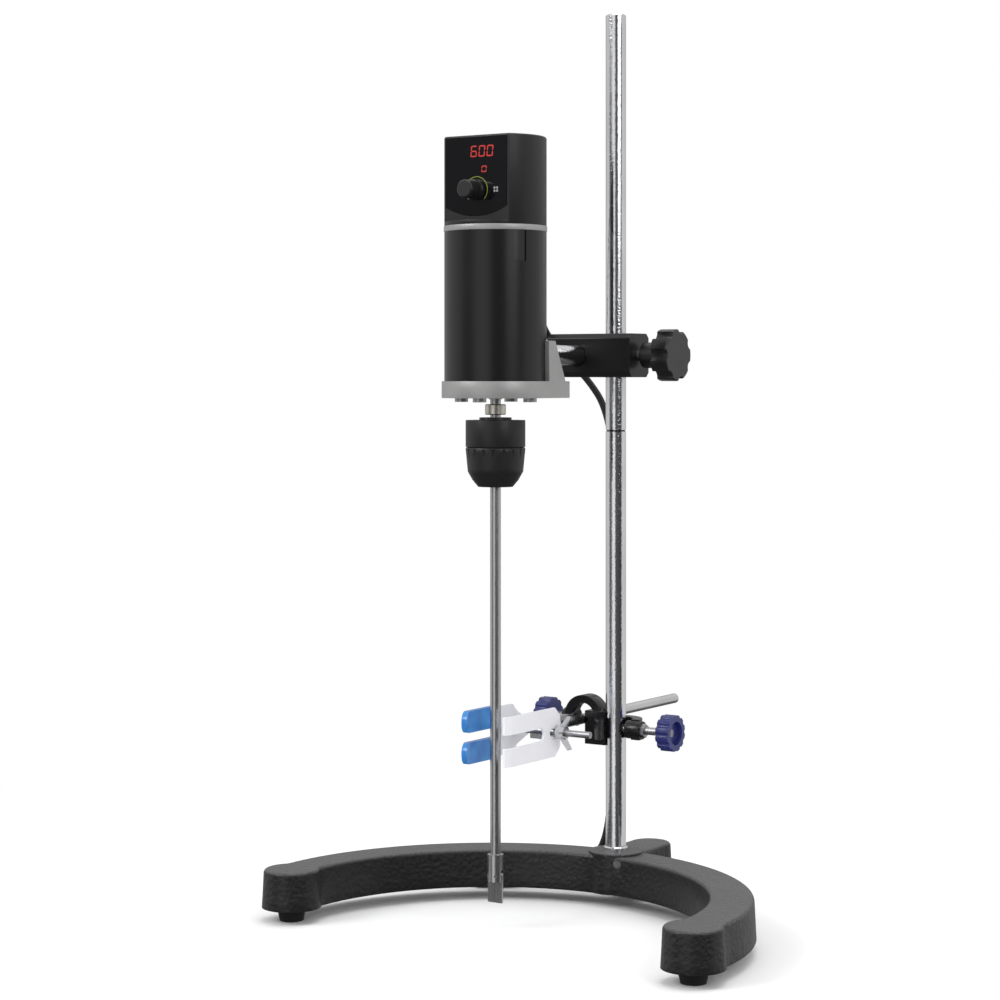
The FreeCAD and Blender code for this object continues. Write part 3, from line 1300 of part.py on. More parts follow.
def cord_tube():
    """A round tube along straight runs that are joined by the largest tangent arcs that fit."""
    start_y = number("head_y") + number("gland_out") + number("gland_length")
    points = [V(x, start_y if y is None else y, z) for x, y, z in CORD_ROUTE]
    edges = []
    at = points[0]
    for index in range(1, len(points) - 1):
        corner = points[index]
        back = points[index - 1] - corner
        ahead = points[index + 1] - corner
        shorter = min(back.Length, ahead.Length)
        back.normalize()
        ahead.normalize()
        half_turn = (math.pi - back.getAngle(ahead)) / 2
        trim = 0.45 * shorter
        radius = trim / math.tan(half_turn)
        print("cord radius", index, round(radius, 1))
        first = corner + back * trim
        last = corner + ahead * trim
        middle_way = (back + ahead).normalize()
        centre = corner + middle_way * (radius / math.cos(half_turn))
        middle = centre - middle_way * radius
        edges.append(Part.LineSegment(at, first).toShape())
        edges.append(Part.Arc(first, middle, last).toShape())
        at = last
    edges.append(Part.LineSegment(at, points[-1]).toShape())
    path = Part.Wire(edges)
    section = Part.Wire(Part.Circle(points[0], (points[1] - points[0]), number("cord_radius")).toShape())
    tube = path.makePipeShell([section], True, False)
    expected = math.pi * number("cord_radius") ** 2 * path.Length
    print("cord length", round(path.Length, 1), "volume ratio", round(tube.Volume / expected, 4))
    piece = doc.addObject("Part::Feature", "PowerCord")
    piece.Shape = tube
    return piece


def check_and_export():
    """Stops on any failed object, then writes each sub-part."""
    doc.recompute()
    for piece in doc.Objects:
        if "Invalid" in piece.State or "Error" in piece.State:
            raise RuntimeError(piece.Name + " failed: " + str(piece.State))
    os.makedirs(PARTS_FOLDER, exist_ok=True)
    for name, piece in nodes.items():
        shape = piece.Shape
        if shape.isNull() or not shape.isValid() or shape.Volume <= 0:
            raise RuntimeError(name + " has no valid shape")
        shape.exportStep(os.path.join(PARTS_FOLDER, name + ".step"))


make_base()
make_feet()
make_rods()
make_carrier()
make_bracket()
make_motor()
make_controls()
make_drive()
make_stirrer()
make_boss_head()
make_flask_clamp()
make_cord()
check_and_export()
print("nodes", len(nodes))
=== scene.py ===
"""Looks of the laboratory overhead stirrer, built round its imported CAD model, in metres."""
import math

import bpy
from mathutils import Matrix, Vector


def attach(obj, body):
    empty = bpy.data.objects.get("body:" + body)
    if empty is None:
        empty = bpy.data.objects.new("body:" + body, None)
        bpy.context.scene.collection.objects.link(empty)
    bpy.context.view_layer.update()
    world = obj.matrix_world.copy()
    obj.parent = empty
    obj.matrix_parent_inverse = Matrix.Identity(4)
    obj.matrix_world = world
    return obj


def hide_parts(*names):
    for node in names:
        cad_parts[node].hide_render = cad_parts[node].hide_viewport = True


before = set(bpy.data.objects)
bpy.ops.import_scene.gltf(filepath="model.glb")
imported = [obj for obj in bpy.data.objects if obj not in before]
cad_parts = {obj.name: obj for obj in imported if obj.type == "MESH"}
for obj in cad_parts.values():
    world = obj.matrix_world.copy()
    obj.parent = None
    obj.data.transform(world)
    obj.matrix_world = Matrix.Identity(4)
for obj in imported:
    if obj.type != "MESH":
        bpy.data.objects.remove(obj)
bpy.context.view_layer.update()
scene = bpy.context.scene

# Places that the CAD model fixes
MM = 0.001
ROD_Y = 35.25 * MM
ROD_GROOVE = (367.7 * MM, 369.0 * MM)
HEAD_X = -26.5 * MM
HEAD_Y = ROD_Y - 130 * MM
PANEL_Y = HEAD_Y - 25.9 * MM
KNOB_RIGHT = 0.5
KNOB_UP = 547.5

# Camera
VIEW_TURN = math.radians(33.5)
EYE_HEIGHT = 410.2 * MM
ROD_ASIDE = 90.5 * MM
ROD_AWAY = 1898 * MM
SENSOR_WIDTH = 36
FOCAL_RATIO = 2.43
SHIFT_UP = -0.123
FAR_LIMIT = 20


def aim_camera():
    """Stands level at the photograph's side, with the rod at its measured place in the frame."""
    away = Vector((-math.sin(VIEW_TURN), math.cos(VIEW_TURN), 0))
    aside = Vector((math.cos(VIEW_TURN), math.sin(VIEW_TURN), 0))
    eye = Vector((0, ROD_Y, EYE_HEIGHT)) - away * ROD_AWAY - aside * ROD_ASIDE
    lens = bpy.data.cameras.new("camera")
    lens.sensor_width = SENSOR_WIDTH
    lens.lens = SENSOR_WIDTH * FOCAL_RATIO
    lens.shift_y = SHIFT_UP
    lens.clip_end = FAR_LIMIT
    camera = bpy.data.objects.new("camera", lens)
    camera.location = eye
    camera.rotation_euler = (math.pi / 2, 0, VIEW_TURN)
    scene.collection.objects.link(camera)
    scene.camera = camera


aim_camera()

# Cord, with its route in millimetres
CORD_MM = 5.5
CORD_DIAMETER = CORD_MM * MM
DROP_ROUTE = [
    (-42.5, -44.75, 545),
    (-42.5, -28, 545),
    (-46, -6, 533),
    (-53, 6, 505),
    (-60, 14, 474),
    (-64, 29, 449),
    (-63, 49, 434),
    (-58, 67, 420),
    (-46, 73, 405),
    (-34, 74, 388),
    (-26, 74, 358),
    (-30, 82, 322),
    (-37, 92, 286),
    (-41, 97, 245),
    (-42.5, 99, 190),
    (-43, 99.5, 133),
    (-42.5, 99, 82),
    (-43.5, 98, 54),
    (-48, 97, 31),
    (-59, 94.5, 14),
    (-71, 87, 5.6),
    (-81, 74, 3.4),
    (-84.5, 58, 2.95),
]
COIL_CENTRE = (-126.8, 60)
COIL_INNER_TURN = 25.5
COIL_OUTER_TURN = COIL_INNER_TURN + 2 * CORD_MM
COIL_TURNS_ACROSS = 3
COIL_POINTS_A_TURN = 16
TIE_TURN = 0.78
TIE_WIDTH = 6.0
TIE_THICKNESS = 0.9
TIE_STEPS = 4
FLOOR_LEVEL = 2.95
PLUG_TAIL_X = -170.8
PLUG_FACE_X = -206.8
PLUG_LEVEL = 8.45
LEAD_BEND = 12
LEAD_INTO_PLUG = 16


def coil_route():
    """Three turns inwards on the floor, then three outwards on top of them, and off to the plug."""
    points = [DROP_ROUTE[-1]]
    whole = COIL_POINTS_A_TURN * 2 * COIL_TURNS_ACROSS + COIL_POINTS_A_TURN // 4
    steps_across = COIL_TURNS_ACROSS - 1
    for step in range(2, whole + 1):
        turn = step / COIL_POINTS_A_TURN
        back_turn = max(turn - COIL_TURNS_ACROSS, 0)
        lanes = min(back_turn, steps_across) - min(turn, steps_across)
        radius = COIL_OUTER_TURN + CORD_MM * lanes
        climb = min(max(turn - COIL_TURNS_ACROSS + 0.5, 0), 1)
        height = FLOOR_LEVEL + (PLUG_LEVEL - FLOOR_LEVEL) * climb
        angle = -2 * math.pi * turn
        points.append((COIL_CENTRE[0] + radius * math.cos(angle),
                       COIL_CENTRE[1] + radius * math.sin(angle), height))
    last = points[-1]
    points.append((last[0] - LEAD_BEND, last[1], PLUG_LEVEL))
    points.append((PLUG_TAIL_X + LEAD_INTO_PLUG, last[1], PLUG_LEVEL))
    return points


def lead(name, route, body, *nodes):
    """A round cord on one smooth spline."""
    line = bpy.data.curves.new(name, "CURVE")
    line.dimensions = "3D"
    line.bevel_depth = 1
    line.bevel_resolution = 4
    line.resolution_u = 8
    spline = line.splines.new("NURBS")
    spline.points.add(len(route) - 1)
    for point, (x, y, z) in zip(spline.points, route):
        point.co = (x * MM, y * MM, z * MM, 1)
        point.radius = CORD_DIAMETER / 2
    spline.order_u = 3
    spline.use_endpoint_u = True
    cord = bpy.data.objects.new(name, line)
    scene.collection.objects.link(cord)
    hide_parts(*nodes)
    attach(cord, body)
    return cord


def length_of(cord):
    """Length of a cord's smooth line."""
    line = cord.data.copy()
    line.bevel_depth = 0
    bare = bpy.data.objects.new("measure", line)
    scene.collection.objects.link(bare)
    bpy.context.view_layer.update()
    mesh = bpy.data.meshes.new_from_object(bare)
    spots = [vertex.co.copy() for vertex in mesh.vertices]
    total = sum((two - one).length for one, two in zip(spots, spots[1:]))
    bpy.data.objects.remove(bare)
    return total


def coil_tie():
    """A strap round all the turns of the coil at one place, flat on the floor below them."""
    angle = 2 * math.pi * TIE_TURN
    reach = CORD_MM / 2
    corners = [(COIL_INNER_TURN, FLOOR_LEVEL, 180), (COIL_OUTER_TURN, FLOOR_LEVEL, 270),
               (COIL_OUTER_TURN, PLUG_LEVEL, 0), (COIL_INNER_TURN, PLUG_LEVEL, 90)]
    points = []
    for side in (-TIE_WIDTH / 2, TIE_WIDTH / 2):
        for radius in (reach, reach + TIE_THICKNESS):
            for middle, level, first in corners:
                for step in range(TIE_STEPS):
                    bend = math.radians(first + 90 * step / (TIE_STEPS - 1))
                    out = middle + radius * math.cos(bend)
                    up = max(level + radius * math.sin(bend), 0)
                    points.append(((COIL_CENTRE[0] + out * math.cos(angle) - side * math.sin(angle)) * MM,
                                   (COIL_CENTRE[1] + out * math.sin(angle) + side * math.cos(angle)) * MM,
                                   up * MM))
    count = len(corners) * TIE_STEPS
    faces = []
    for one, two in ((0, 2), (3, 1), (1, 0), (2, 3)):
        for step in range(count):
            ahead = (step + 1) % count
            faces.append((one * count + step, one * count + ahead, two * count + ahead, two * count + step))
    mesh = bpy.data.meshes.new("cord_tie")
    mesh.from_pydata(points, [], faces)
    tie = bpy.data.objects.new("cord_tie", mesh)
    scene.collection.objects.link(tie)
    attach(tie, "stand")
    return tie


cord_drop = lead("cord_drop", DROP_ROUTE, "head", "power_cord")
cord_turns = lead("cord_turns", coil_route(), "stand", "cord_coil")
cord_tie = coil_tie()
length_of(cord_drop)
length_of(cord_turns)


# Shader maths
class Shade:
    """One socket of a material, which plain arithmetic can be done on."""

    def __init__(self, finish, socket):
        self.finish = finish
        self.socket = socket

    def maths(self, operation, first, second):
        made = self.finish.add("ShaderNodeMath", {"operation": operation}, [first, second])
        return Shade(self.finish, made.outputs[0])

    def __add__(self, other):
        return self.maths("ADD", self, other)

    def __radd__(self, other):
        return self.maths("ADD", other, self)

    def __sub__(self, other):
        return self.maths("SUBTRACT", self, other)

    def __rsub__(self, other):
        return self.maths("SUBTRACT", other, self)

    def __mul__(self, other):
        return self.maths("MULTIPLY", self, other)

    def __rmul__(self, other):
        return self.maths("MULTIPLY", other, self)

    def between(self, low, high):
        """0 below low and 1 above high."""
        made = self.finish.add("ShaderNodeMapRange", {"clamp": True}, [self, low, high, 0.0, 1.0])
        return Shade(self.finish, made.outputs[0])


class Nodes:
    """The nodes of one material, or of the world, added one at a time."""

    def __init__(self, tree):
        self.tree = tree

    def fill(self, socket, value):
        if isinstance(value, Shade):
            self.tree.links.new(value.socket, socket)
        else:
            socket.default_value = value

    def add(self, kind, settings=None, values=()):
        """Adds a node: its settings first, then its sockets by place or by name."""
        made = self.tree.nodes.new(kind)
        for name, value in (settings or {}).items():
            if name == "stops":
                elements = made.color_ramp.elements
                while len(elements) < len(value):
                    elements.new(1.0)
                for element, (at, level) in zip(elements, value):
                    element.position = at
                    element.color = (level, level, level, 1.0)
            else:
                setattr(made, name, value)
        pairs = values.items() if isinstance(values, dict) else enumerate(values)
        for name, value in pairs:
            self.fill(made.inputs[name], value)
        return made

    def place(self):
        """Where a point is on the object at rest."""
        return Shade(self, self.add("ShaderNodeTexCoord").outputs["Object"])

    def along(self, axis):
        """One coordinate of the place."""
        return Shade(self, self.add("ShaderNodeSeparateXYZ", {}, [self.place()]).outputs[axis])

    def stretched(self, x, y, z):
        """The place, scaled along each axis."""
        made = self.add("ShaderNodeMapping", {}, {"Vector": self.place(), "Scale": (x, y, z)})
        return Shade(self, made.outputs[0])

    def noise(self, scale, detail=3.0, at=None):
        made = self.add("ShaderNodeTexNoise", {}, {"Vector": at or self.place(), "Scale": scale,
                                                   "Detail": detail})
        return Shade(self, made.outputs["Fac"])

    def cells(self, scale):
        made = self.add("ShaderNodeTexVoronoi", {"feature": "SMOOTH_F1"}, {"Vector": self.place(),
                                                                          "Scale": scale})
        return Shade(self, made.outputs["Distance"])

    def mix(self, factor, one, two):
        """A colour between two, by a factor."""
        made = self.add("ShaderNodeMix", {"data_type": "RGBA"})
        self.fill(made.inputs["Factor"], factor)
        self.fill(made.inputs[6], one + (1.0,) if isinstance(one, tuple) else one)
        self.fill(made.inputs[7], two + (1.0,) if isinstance(two, tuple) else two)
        return Shade(self, made.outputs[2])


class Finish(Nodes):
    """A material on the principled shader."""

    def __init__(self, name, colour, roughness, metal=0.0, coat=0.0, coat_roughness=0.1, specular=0.5):
        self.material = bpy.data.materials.new(name)
        self.material.use_nodes = True
        super().__init__(self.material.node_tree)
        self.shader = self.tree.nodes["Principled BSDF"]
        self.put("Base Color", colour + (1.0,))
        self.put("Roughness", roughness)
        self.put("Metallic", metal)
        self.put("Coat Weight", coat)
        self.put("Coat Roughness", coat_roughness)
        self.put("Specular IOR Level", specular)
        self.material.diffuse_color = colour + (1.0,)

    def put(self, name, value):
        """Sets or links a socket of the shader."""
        self.fill(self.shader.inputs[name], value)

    def bumps(self, height, strength, distance):
        """Raises the surface by a height."""
        made = self.add("ShaderNodeBump", {}, {"Height": height, "Strength": strength,
                                               "Distance": distance})
        self.put("Normal", Shade(self, made.outputs["Normal"]))


# Finishes
FINE = 0.2 * MM
EDGE = 0.1 * MM
CORD_BLACK = (0.012, 0.012, 0.013)


def cast_enamel():
    """Black hammered enamel on cast iron, with a painted sheen that lightens the faces looking upward."""
    finish = Finish("cast_enamel", (0.008, 0.008, 0.009), 0.45, coat=0.2, coat_roughness=0.2, specular=0.4)
    dimples = finish.cells(scale=330.0)
    grain = finish.noise(scale=900.0)
    patches = finish.noise(scale=45.0, detail=5.0)
    facing = finish.add("ShaderNodeNewGeometry").outputs["Normal"]
    upward = Shade(finish, finish.add("ShaderNodeSeparateXYZ", {}, [Shade(finish, facing)]).outputs["Z"])
    # painted sheen: faces that look upward get a lighter colour, speckled by the grain
    painted_top_sheen = upward.between(0.35, 0.95) * (0.35 + grain.between(0.35, 0.65))
    finish.put("Base Color", finish.mix(painted_top_sheen, (0.006, 0.006, 0.0065), (0.085, 0.085, 0.088)))
    finish.put("Roughness", 0.42 + 0.2 * patches)
    finish.bumps(dimples + 0.5 * grain + 0.5 * patches, strength=0.8, distance=1.1 * MM)
    return finish.material


def chromed(name="chromed", tint=(0.78, 0.78, 0.8), roughness=0.1, groove=None):
    """Bright plating with faint wiping marks and a slight orange-peel, with painted shade darkening a
    turned groove.
    """
    finish = Finish(name, tint, roughness, metal=1.0)
    marks = finish.noise(scale=60.0, detail=4.0, at=finish.stretched(1.0, 1.0, 0.08))
    haze = finish.noise(scale=14.0)
    finish.bumps(finish.noise(scale=700.0, detail=2.0), strength=0.5, distance=0.3 * MM)
    finish.put("Roughness", roughness + 0.07 * marks.between(0.5, 0.75))
    plating = finish.mix(haze.between(0.35, 0.75), tint, tuple(part * 0.86 for part in tint))
    if groove:
        up = finish.along("Z")
        low, high = groove
        # painted shade: the plating colour is darkened inside the turned groove where the rods meet
        painted_groove_shade = up.between(low - EDGE, low) - up.between(high, high + EDGE)
        plating = finish.mix(painted_groove_shade, plating, (0.1, 0.1, 0.1))
    finish.put("Base Color", plating)
    return finish.material


def brushed(name, tint, roughness, scale=(300.0, 300.0, 40.0)):
    """Turned or brushed steel with fine marks."""
    finish = Finish(name, tint, roughness, metal=1.0)
    marks = finish.noise(scale=6.0, detail=4.0, at=finish.stretched(*scale))
    finish.put("Roughness", roughness + 0.18 * marks)
    finish.bumps(marks, strength=0.12, distance=FINE)
    return finish.material


def cast_silver():
    """Silver-grey paint on a cast bracket, with a fine sparkle."""
    finish = Finish("cast_silver", (0.33, 0.33, 0.33), 0.42, metal=0.55)
    flakes = finish.noise(scale=1500.0, detail=2.0)
    clouds = finish.noise(scale=60.0)
    finish.put("Base Color", finish.mix(flakes * 0.6 + clouds * 0.4, (0.25, 0.25, 0.25),
                                        (0.42, 0.42, 0.415)))
    finish.put("Roughness", 0.36 + 0.15 * clouds)
    finish.bumps(flakes, strength=0.15, distance=FINE)
    return finish.material


def satin_black(name, colour=(0.006, 0.0055, 0.006), roughness=0.32, grain=900.0, depth=0.1):
    """Satin black paint or anodising with a very fine grain."""
    finish = Finish(name, colour, roughness, coat=0.05, coat_roughness=0.2, specular=0.38)
    fine = finish.noise(scale=grain, detail=2.0)
    clouds = finish.noise(scale=25.0, detail=4.0)
    finish.put("Roughness", roughness + 0.1 * clouds - 0.05)
    finish.bumps(fine, strength=depth, distance=FINE)
    return finish.material


def moulded(name, colour, roughness, depth=0.12, coat=0.0, shade=0.8):
    """Moulded plastic or a paint, with a fine texture and faint clouds of a darker shade."""
    finish = Finish(name, colour, roughness, coat=coat)
    fine = finish.noise(scale=1400.0, detail=2.0)
    clouds = finish.noise(scale=70.0)
    darker = tuple(part * shade for part in colour)
    finish.put("Base Color", finish.mix(clouds.between(0.3, 0.8), colour, darker))
    finish.put("Roughness", roughness + 0.12 * clouds)
    finish.bumps(fine, strength=depth, distance=FINE)
    return finish.material


def plug_skin():
    """Black moulded plug with bare brass-coloured blades."""
    finish = Finish("plug_skin", CORD_BLACK, 0.45)
    along = finish.along("X")
    face = PLUG_FACE_X * MM
    blade = 1.0 - along.between(face - EDGE, face + EDGE)
    grain = finish.noise(scale=900.0)
    finish.put("Base Color", finish.mix(blade, CORD_BLACK, (0.62, 0.55, 0.4)))
    finish.put("Metallic", blade)
    finish.put("Roughness", 0.48 - 0.2 * blade + 0.05 * grain)
    return finish.material


def gloss_panel():
    """Gloss film over black, with faint smears."""
    finish = Finish("gloss_panel", (0.004, 0.004, 0.005), 0.07, coat=0.6, coat_roughness=0.03)
    smears = finish.noise(scale=40.0, detail=4.0)
    finish.put("Roughness", 0.05 + 0.08 * smears.between(0.45, 0.8))
    return finish.material


def glowing(name, colour, strength):
    """A lit mark on the display."""
    finish = Finish(name, tuple(part * 0.2 for part in colour), 0.4)
    finish.put("Emission Color", colour + (1.0,))
    finish.put("Emission Strength", strength)
    return finish.material


def printed(name, colour):
    """Ink on the panel."""
    finish = Finish(name, colour, 0.35)
    ink = finish.noise(scale=800.0)
    finish.put("Base Color", finish.mix(ink, colour, tuple(part * 0.85 for part in colour)))
    return finish.material


def vinyl_sleeve():
    """Soft blue dipped vinyl."""
    finish = Finish("vinyl_sleeve", (0.02, 0.19, 0.55), 0.28, coat=0.3, coat_roughness=0.12)
    clouds = finish.noise(scale=90.0)
    finish.put("Base Color", finish.mix(clouds.between(0.3, 0.7), (0.018, 0.16, 0.5),
                                        (0.03, 0.24, 0.62)))
    finish.put("Subsurface Weight", 0.1)
    finish.put("Subsurface Scale", 2 * MM)
    finish.bumps(clouds, strength=0.15, distance=0.4 * MM)
    return finish.material


ENAMEL = cast_enamel()
CHROME = chromed()
ROD_CHROME = chromed("rod_chrome", groove=ROD_GROOVE)
BRIGHT_ARM = chromed("bright_arm", (0.7, 0.7, 0.71), 0.16)
SHAFT_STEEL = brushed("shaft_steel", (0.5, 0.5, 0.51), 0.2, scale=(400.0, 400.0, 30.0))
ZINC_STEEL = brushed("zinc_steel", (0.45, 0.45, 0.46), 0.3)
NICKEL = brushed("nickel", (0.62, 0.59, 0.53), 0.22)
SILVER = cast_silver()
MOTOR_BLACK = satin_black("motor_black", (0.0055, 0.005, 0.0055), 0.3)
HOUSING_BLACK = satin_black("housing_black", (0.009, 0.009, 0.0095), 0.42, grain=1300.0, depth=0.2)
BLOCK_BLACK = satin_black("block_black")
CHUCK_BLACK = satin_black("chuck_black", (0.009, 0.008, 0.0095), 0.45, grain=1600.0, depth=0.25)
BOSS_BLACK = satin_black("boss_black", (0.006, 0.006, 0.007), 0.24, grain=250.0, depth=0.3)
KNOB_BLACK = moulded("knob_black", (0.007, 0.007, 0.0075), 0.3, coat=0.1)
RUBBER = moulded("foot_rubber", (0.008, 0.008, 0.008), 0.75, depth=0.3)
ROYAL_BLUE = moulded("royal_blue", (0.014, 0.02, 0.14), 0.3, coat=0.2)
WHITE_JAW = moulded("white_jaw", (0.77, 0.77, 0.81), 0.3, depth=0.03, coat=0.2, shade=0.96)
LAMINATED = brushed("laminated", (0.3, 0.3, 0.31), 0.4, scale=(40.0, 40.0, 900.0))
BOARD = moulded("board_green", (0.02, 0.09, 0.04), 0.5)
PLUG_SKIN = plug_skin()
CORD_SKIN = moulded("cord_skin", CORD_BLACK, 0.5, depth=0.15)
PANEL_GLOSS = gloss_panel()
RED_LIGHT = glowing("red_light", (0.62, 0.02, 0.018), strength=0.65)
LIME_INK = printed("lime_ink", (0.2, 0.24, 0.03))
GREY_INK = printed("grey_ink", (0.28, 0.28, 0.29))
VINYL = vinyl_sleeve()

NODE_FINISH = {
    "stand_base": ENAMEL, "rubber_feet": RUBBER, "foot_screws": ZINC_STEEL, "lower_rod": ROD_CHROME,
    "upper_rod": ROD_CHROME, "rod_collar": CHROME, "rod_base_nut": ZINC_STEEL, "base_set_screw": ZINC_STEEL,
    "cord_coil": CORD_SKIN, "cord_plug": PLUG_SKIN, "power_cord": CORD_SKIN, "cord_gland": KNOB_BLACK,
    "clamp_block": BLOCK_BLACK, "boom_set_screw": ZINC_STEEL, "star_knob_screw": ZINC_STEEL,
    "star_knob": KNOB_BLACK, "boom": CHROME, "motor_bracket": SILVER, "bracket_screws": ZINC_STEEL,
    "motor_shell": MOTOR_BLACK, "slot_cover": KNOB_BLACK, "trim_ring": SILVER, "motor_stator": LAMINATED,
    "motor_end_plate": SILVER, "upper_bearing": ZINC_STEEL, "lower_bearing": ZINC_STEEL,
    "control_housing": HOUSING_BLACK, "display_panel": PANEL_GLOSS, "display_module": KNOB_BLACK,
    "control_board": BOARD, "output_spindle": SHAFT_STEEL, "motor_rotor": LAMINATED,
    "spindle_collar": NICKEL, "chuck_body": CHUCK_BLACK, "chuck_sleeve": CHUCK_BLACK,
    "chuck_jaw_a": ZINC_STEEL, "chuck_jaw_b": ZINC_STEEL, "chuck_jaw_c": ZINC_STEEL,
    "stir_shaft": SHAFT_STEEL, "impeller_hub": SHAFT_STEEL, "blade_pins": ZINC_STEEL,
    "impeller_blade_left": SHAFT_STEEL, "impeller_blade_right": SHAFT_STEEL, "speed_knob": KNOB_BLACK,
    "knob_shaft": ZINC_STEEL, "boss_head": BOSS_BLACK, "rod_clamp_locknut": ZINC_STEEL,
    "rod_clamp_screw": ZINC_STEEL, "rod_clamp_knob": ROYAL_BLUE, "arm_clamp_screw": ZINC_STEEL,
    "arm_clamp_knob": ROYAL_BLUE, "clamp_arm": BRIGHT_ARM, "clamp_yoke": SILVER, "far_jaw": WHITE_JAW,
    "jaw_sleeves": VINYL, "jaw_stud": ZINC_STEEL, "jaw_pins": ZINC_STEEL, "near_jaw": WHITE_JAW,
    "jaw_washer": ZINC_STEEL, "wing_nut": BRIGHT_ARM,
}
for name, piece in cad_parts.items():
    finish = NODE_FINISH[name]
    for place in piece.material_slots:
        place.material = finish
for cord in (cord_drop, cord_turns):
    cord.data.materials.append(CORD_SKIN)
cord_tie.data.materials.append(KNOB_BLACK)


# Marks on the panel, in millimetres from the head's axis and from the bench
MARK_LIFT = 0.05 * MM
SEGMENTS = {"6": "afgcde", "0": "abcdef"}
LEAN = 0.09
BAR_GAP = 0.18
BAR_TIP = 0.55
BAND_STEPS = 40
PETALS = 4
PETAL_AWAY = 0.62
PETAL_RADIUS = 0.36


def mark(name, corners_list, finish):
    """Flat marks on the panel: each is a list of (right, up) corners."""
    points = []
    faces = []
    for corners in corners_list:
        start = len(points)
        for right, up in corners:
            points.append((HEAD_X + right * MM, PANEL_Y - MARK_LIFT, up * MM))
        faces.append(list(range(start, len(points))))
    mesh = bpy.data.meshes.new(name)
    mesh.from_pydata(points, [], faces)
    mesh.materials.append(finish)
    piece = bpy.data.objects.new(name, mesh)
    scene.collection.objects.link(piece)
    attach(piece, "head")


def flat_bar(left, right, level, thick):
    """A level bar of a digit, with pointed ends."""
    half = thick / 2
    tip = thick * BAR_TIP
    return [(left + tip, level), (left + thick, level + half), (right - thick, level + half),
            (right - tip, level), (right - thick, level - half), (left + thick, level - half)]


def upright_bar(side, low, high, thick):
    """An upright bar of a digit, with pointed ends."""
    half = thick / 2
    low = low + thick * BAR_GAP
    high = high - thick * BAR_GAP
    return [(side, low + half), (side + half, low), (side + thick, low + half),
            (side + thick, high - half), (side + half, high), (side, high - half)]


def digit(number, left, bottom, width, height, thick):
    """The lit bars of one slanted digit."""
    right = left + width
    top = bottom + height
    middle = bottom + height / 2
    bars = {"a": flat_bar(left, right, top - thick / 2, thick),
            "g": flat_bar(left, right, middle, thick),
            "d": flat_bar(left, right, bottom + thick / 2, thick),
            "f": upright_bar(left, middle, top, thick),
            "e": upright_bar(left, bottom, middle, thick),
            "b": upright_bar(right - thick, middle, top, thick),
            "c": upright_bar(right - thick, bottom, middle, thick)}
    return [[(across + (up - bottom) * LEAN, up) for across, up in bars[letter]]
            for letter in SEGMENTS[number]]


def band(radius, thick, start, end):
    """A curved band round the knob, from one angle to another, in degrees anticlockwise from the right."""
    parts = []
    for step in range(BAND_STEPS):
        one = math.radians(start + (end - start) * step / BAND_STEPS)
        two = math.radians(start + (end - start) * (step + 1) / BAND_STEPS)
        ring = [(radius, one), (radius + thick, one), (radius + thick, two), (radius, two)]
        parts.append([(KNOB_RIGHT + far * math.cos(turn), KNOB_UP + far * math.sin(turn))
                      for far, turn in ring])
    return parts


def petals(right, up, reach):
    """A little propeller of round blades."""
    parts = []
    for index in range(PETALS):
        turn = math.radians(45 + 360 / PETALS * index)
        across = right + reach * PETAL_AWAY * math.cos(turn)
        along = up + reach * PETAL_AWAY * math.sin(turn)
        parts.append([(across + reach * PETAL_RADIUS * math.cos(math.radians(angle)),
                       along + reach * PETAL_RADIUS * math.sin(math.radians(angle)))
                      for angle in range(0, 360, 30)])
    return parts


def dress_panel():
    """Digits, the small digit, the scale bands and the propeller mark."""
    bars = []
    for number, left in zip("600", (-5.0, 2.1, 9.2)):
        bars += digit(number, left, bottom=571.6, width=5.6, height=8.4, thick=1.0)
    bars += digit("0", left=4.6, bottom=560.2, width=4.6, height=4.8, thick=0.8)
    mark("speed_digits", bars, RED_LIGHT)
    mark("scale_band", band(radius=9.3, thick=0.7, start=130, end=-45), LIME_INK)
    mark("scale_band_start", band(radius=9.5, thick=0.35, start=225, end=150), GREY_INK)
    mark("propeller_mark", petals(right=17.5, up=547.3, reach=2.6), GREY_INK)


dress_panel()

# Softened edges
SOFTENED = ["stand_base", "control_housing", "motor_bracket", "clamp_block", "boss_head", "star_knob",
            "rod_clamp_knob", "arm_clamp_knob", "chuck_body", "chuck_sleeve", "near_jaw", "far_jaw",
            "jaw_sleeves", "speed_knob", "cord_plug", "trim_ring"]
SAME_POINT = 1e-6
SOFT_WIDTH = 0.4 * MM
SOFT_ANGLE = math.radians(38)


def soften(name):
    """Breaks the sharp edges of a CAD node with a small rounding."""
    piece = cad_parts[name]
    weld = piece.modifiers.new("join", "WELD")
    weld.merge_threshold = SAME_POINT
    bevel = piece.modifiers.new("edge", "BEVEL")
    bevel.width = SOFT_WIDTH
    bevel.segments = 2
    bevel.limit_method = "ANGLE"
    bevel.angle_limit = SOFT_ANGLE


# Floor, lamps and room
FLOOR_REACH = 20.0
FLOOR_DROP = 0.2 * MM
FLOOR_FADES = (0.35, 0.8)
LAMPS_LOOK_AT = (0, 0, 0.35)
PLAIN_WHITE = (1.0, 1.0, 1.0)


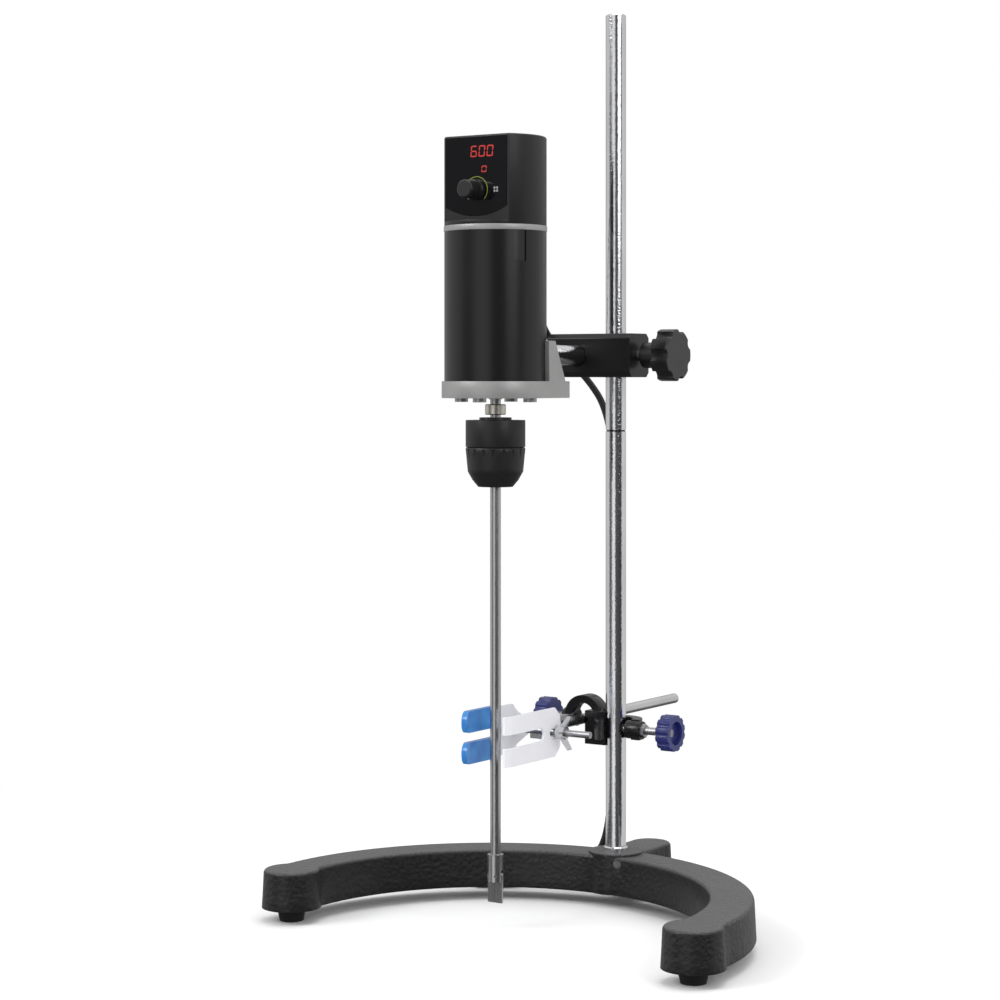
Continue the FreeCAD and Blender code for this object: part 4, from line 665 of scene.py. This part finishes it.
def floor_finish():
    """A white floor with the object's shadow, lit evenly further off and left out of the chrome."""
    finish = Finish("floor_white", (0.93, 0.93, 0.93), 0.9, specular=0.1)
    grain = finish.noise(scale=3.0)
    finish.put("Base Color", finish.mix(grain, (0.92, 0.92, 0.92), (0.94, 0.94, 0.94)))
    away = finish.add("ShaderNodeVectorMath", {"operation": "LENGTH"}, [finish.place()])
    distance = Shade(finish, away.outputs["Value"])
    even = finish.add("ShaderNodeEmission", {}, {"Color": PLAIN_WHITE + (1.0,)})
    clear = finish.add("ShaderNodeBsdfTransparent")
    glossy = Shade(finish, finish.add("ShaderNodeLightPath").outputs["Is Glossy Ray"])
    faded = finish.add("ShaderNodeMixShader", {}, [distance.between(*FLOOR_FADES),
                                                   Shade(finish, finish.shader.outputs[0]),
                                                   Shade(finish, even.outputs[0])])
    whole = finish.add("ShaderNodeMixShader", {}, [glossy, Shade(finish, faded.outputs[0]),
                                                   Shade(finish, clear.outputs[0])])
    output = finish.tree.nodes["Material Output"]
    finish.fill(output.inputs["Surface"], Shade(finish, whole.outputs[0]))
    return finish.material


def make_floor():
    """A wide floor just under the feet."""
    mesh = bpy.data.meshes.new("floor")
    corners = [(-1, -1), (1, -1), (1, 1), (-1, 1)]
    mesh.from_pydata([(right * FLOOR_REACH, back * FLOOR_REACH, 0) for right, back in corners], [],
                     [(0, 1, 2, 3)])
    mesh.materials.append(floor_finish())
    floor = bpy.data.objects.new("floor", mesh)
    floor.location.z = -FLOOR_DROP
    scene.collection.objects.link(floor)


def lamp(name, where, size, power):
    """A soft box that looks at the middle of the object."""
    light = bpy.data.lights.new(name, "AREA")
    light.shape = "SQUARE"
    light.size = size
    light.energy = power
    holder = bpy.data.objects.new(name, light)
    holder.location = where
    toward = Vector(LAMPS_LOOK_AT) - Vector(where)
    holder.rotation_euler = toward.to_track_quat("-Z", "Y").to_euler()
    scene.collection.objects.link(holder)


# Brightness of the room round the object, from behind it, past its left, the camera and its right
ROOM_BANDS = [(0.0, 0.4), (0.22, 0.7), (0.27, 0.6), (0.295, 0.1), (0.35, 0.15), (0.38, 0.85),
              (0.45, 1.0), (0.485, 0.1), (0.66, 0.04), (0.7, 0.72), (0.85, 0.66), (1.0, 0.4)]
ROOM_LIGHT = (0.8, 0.8, 0.8)
BELOW_LIGHT = (0.1, 0.1, 0.1)
BELOW_ENDS = (-0.45, -0.28)
ABOVE_STARTS = (0.3, 0.5)


def make_world():
    """White to the camera, an even light for the object, and upright bands for the chrome to show."""
    world = bpy.data.worlds.new("studio")
    scene.world = world
    world.use_nodes = True
    room = Nodes(world.node_tree)
    ray = Shade(room, room.add("ShaderNodeTexCoord").outputs["Generated"])
    turned = room.add("ShaderNodeMapping", {}, {"Vector": ray, "Rotation": (0, 0, -VIEW_TURN)})
    parts = room.add("ShaderNodeSeparateXYZ", {}, [Shade(room, turned.outputs[0])])
    right = Shade(room, parts.outputs["X"])
    toward = 0.0 - Shade(room, parts.outputs["Y"])
    around = right.maths("ARCTAN2", right, toward).between(-math.pi, math.pi)
    bands = Shade(room, room.add("ShaderNodeValToRGB", {"stops": ROOM_BANDS}, [around]).outputs[0])
    height = Shade(room, parts.outputs["Z"])
    walls = room.mix(height.between(*BELOW_ENDS), BELOW_LIGHT, bands)
    walls = room.mix(height.between(*ABOVE_STARTS), walls, ROOM_LIGHT)
    path = room.add("ShaderNodeLightPath")
    lit = room.mix(Shade(room, path.outputs["Is Glossy Ray"]), ROOM_LIGHT, walls)
    seen = room.mix(Shade(room, path.outputs["Is Camera Ray"]), lit, PLAIN_WHITE)
    room.fill(world.node_tree.nodes["Background"].inputs["Color"], seen)


make_floor()
make_world()
lamp("key_light", where=(-1.3, -2.0, 1.8), size=1.2, power=28)
lamp("fill_light", where=(2.2, -0.8, 1.2), size=1.2, power=13)
lamp("top_light", where=(0.2, 0.3, 2.6), size=1.6, power=20)
scene.view_settings.view_transform = "Standard"

for name in SOFTENED:
    soften(name)
bpy.context.view_layer.update()
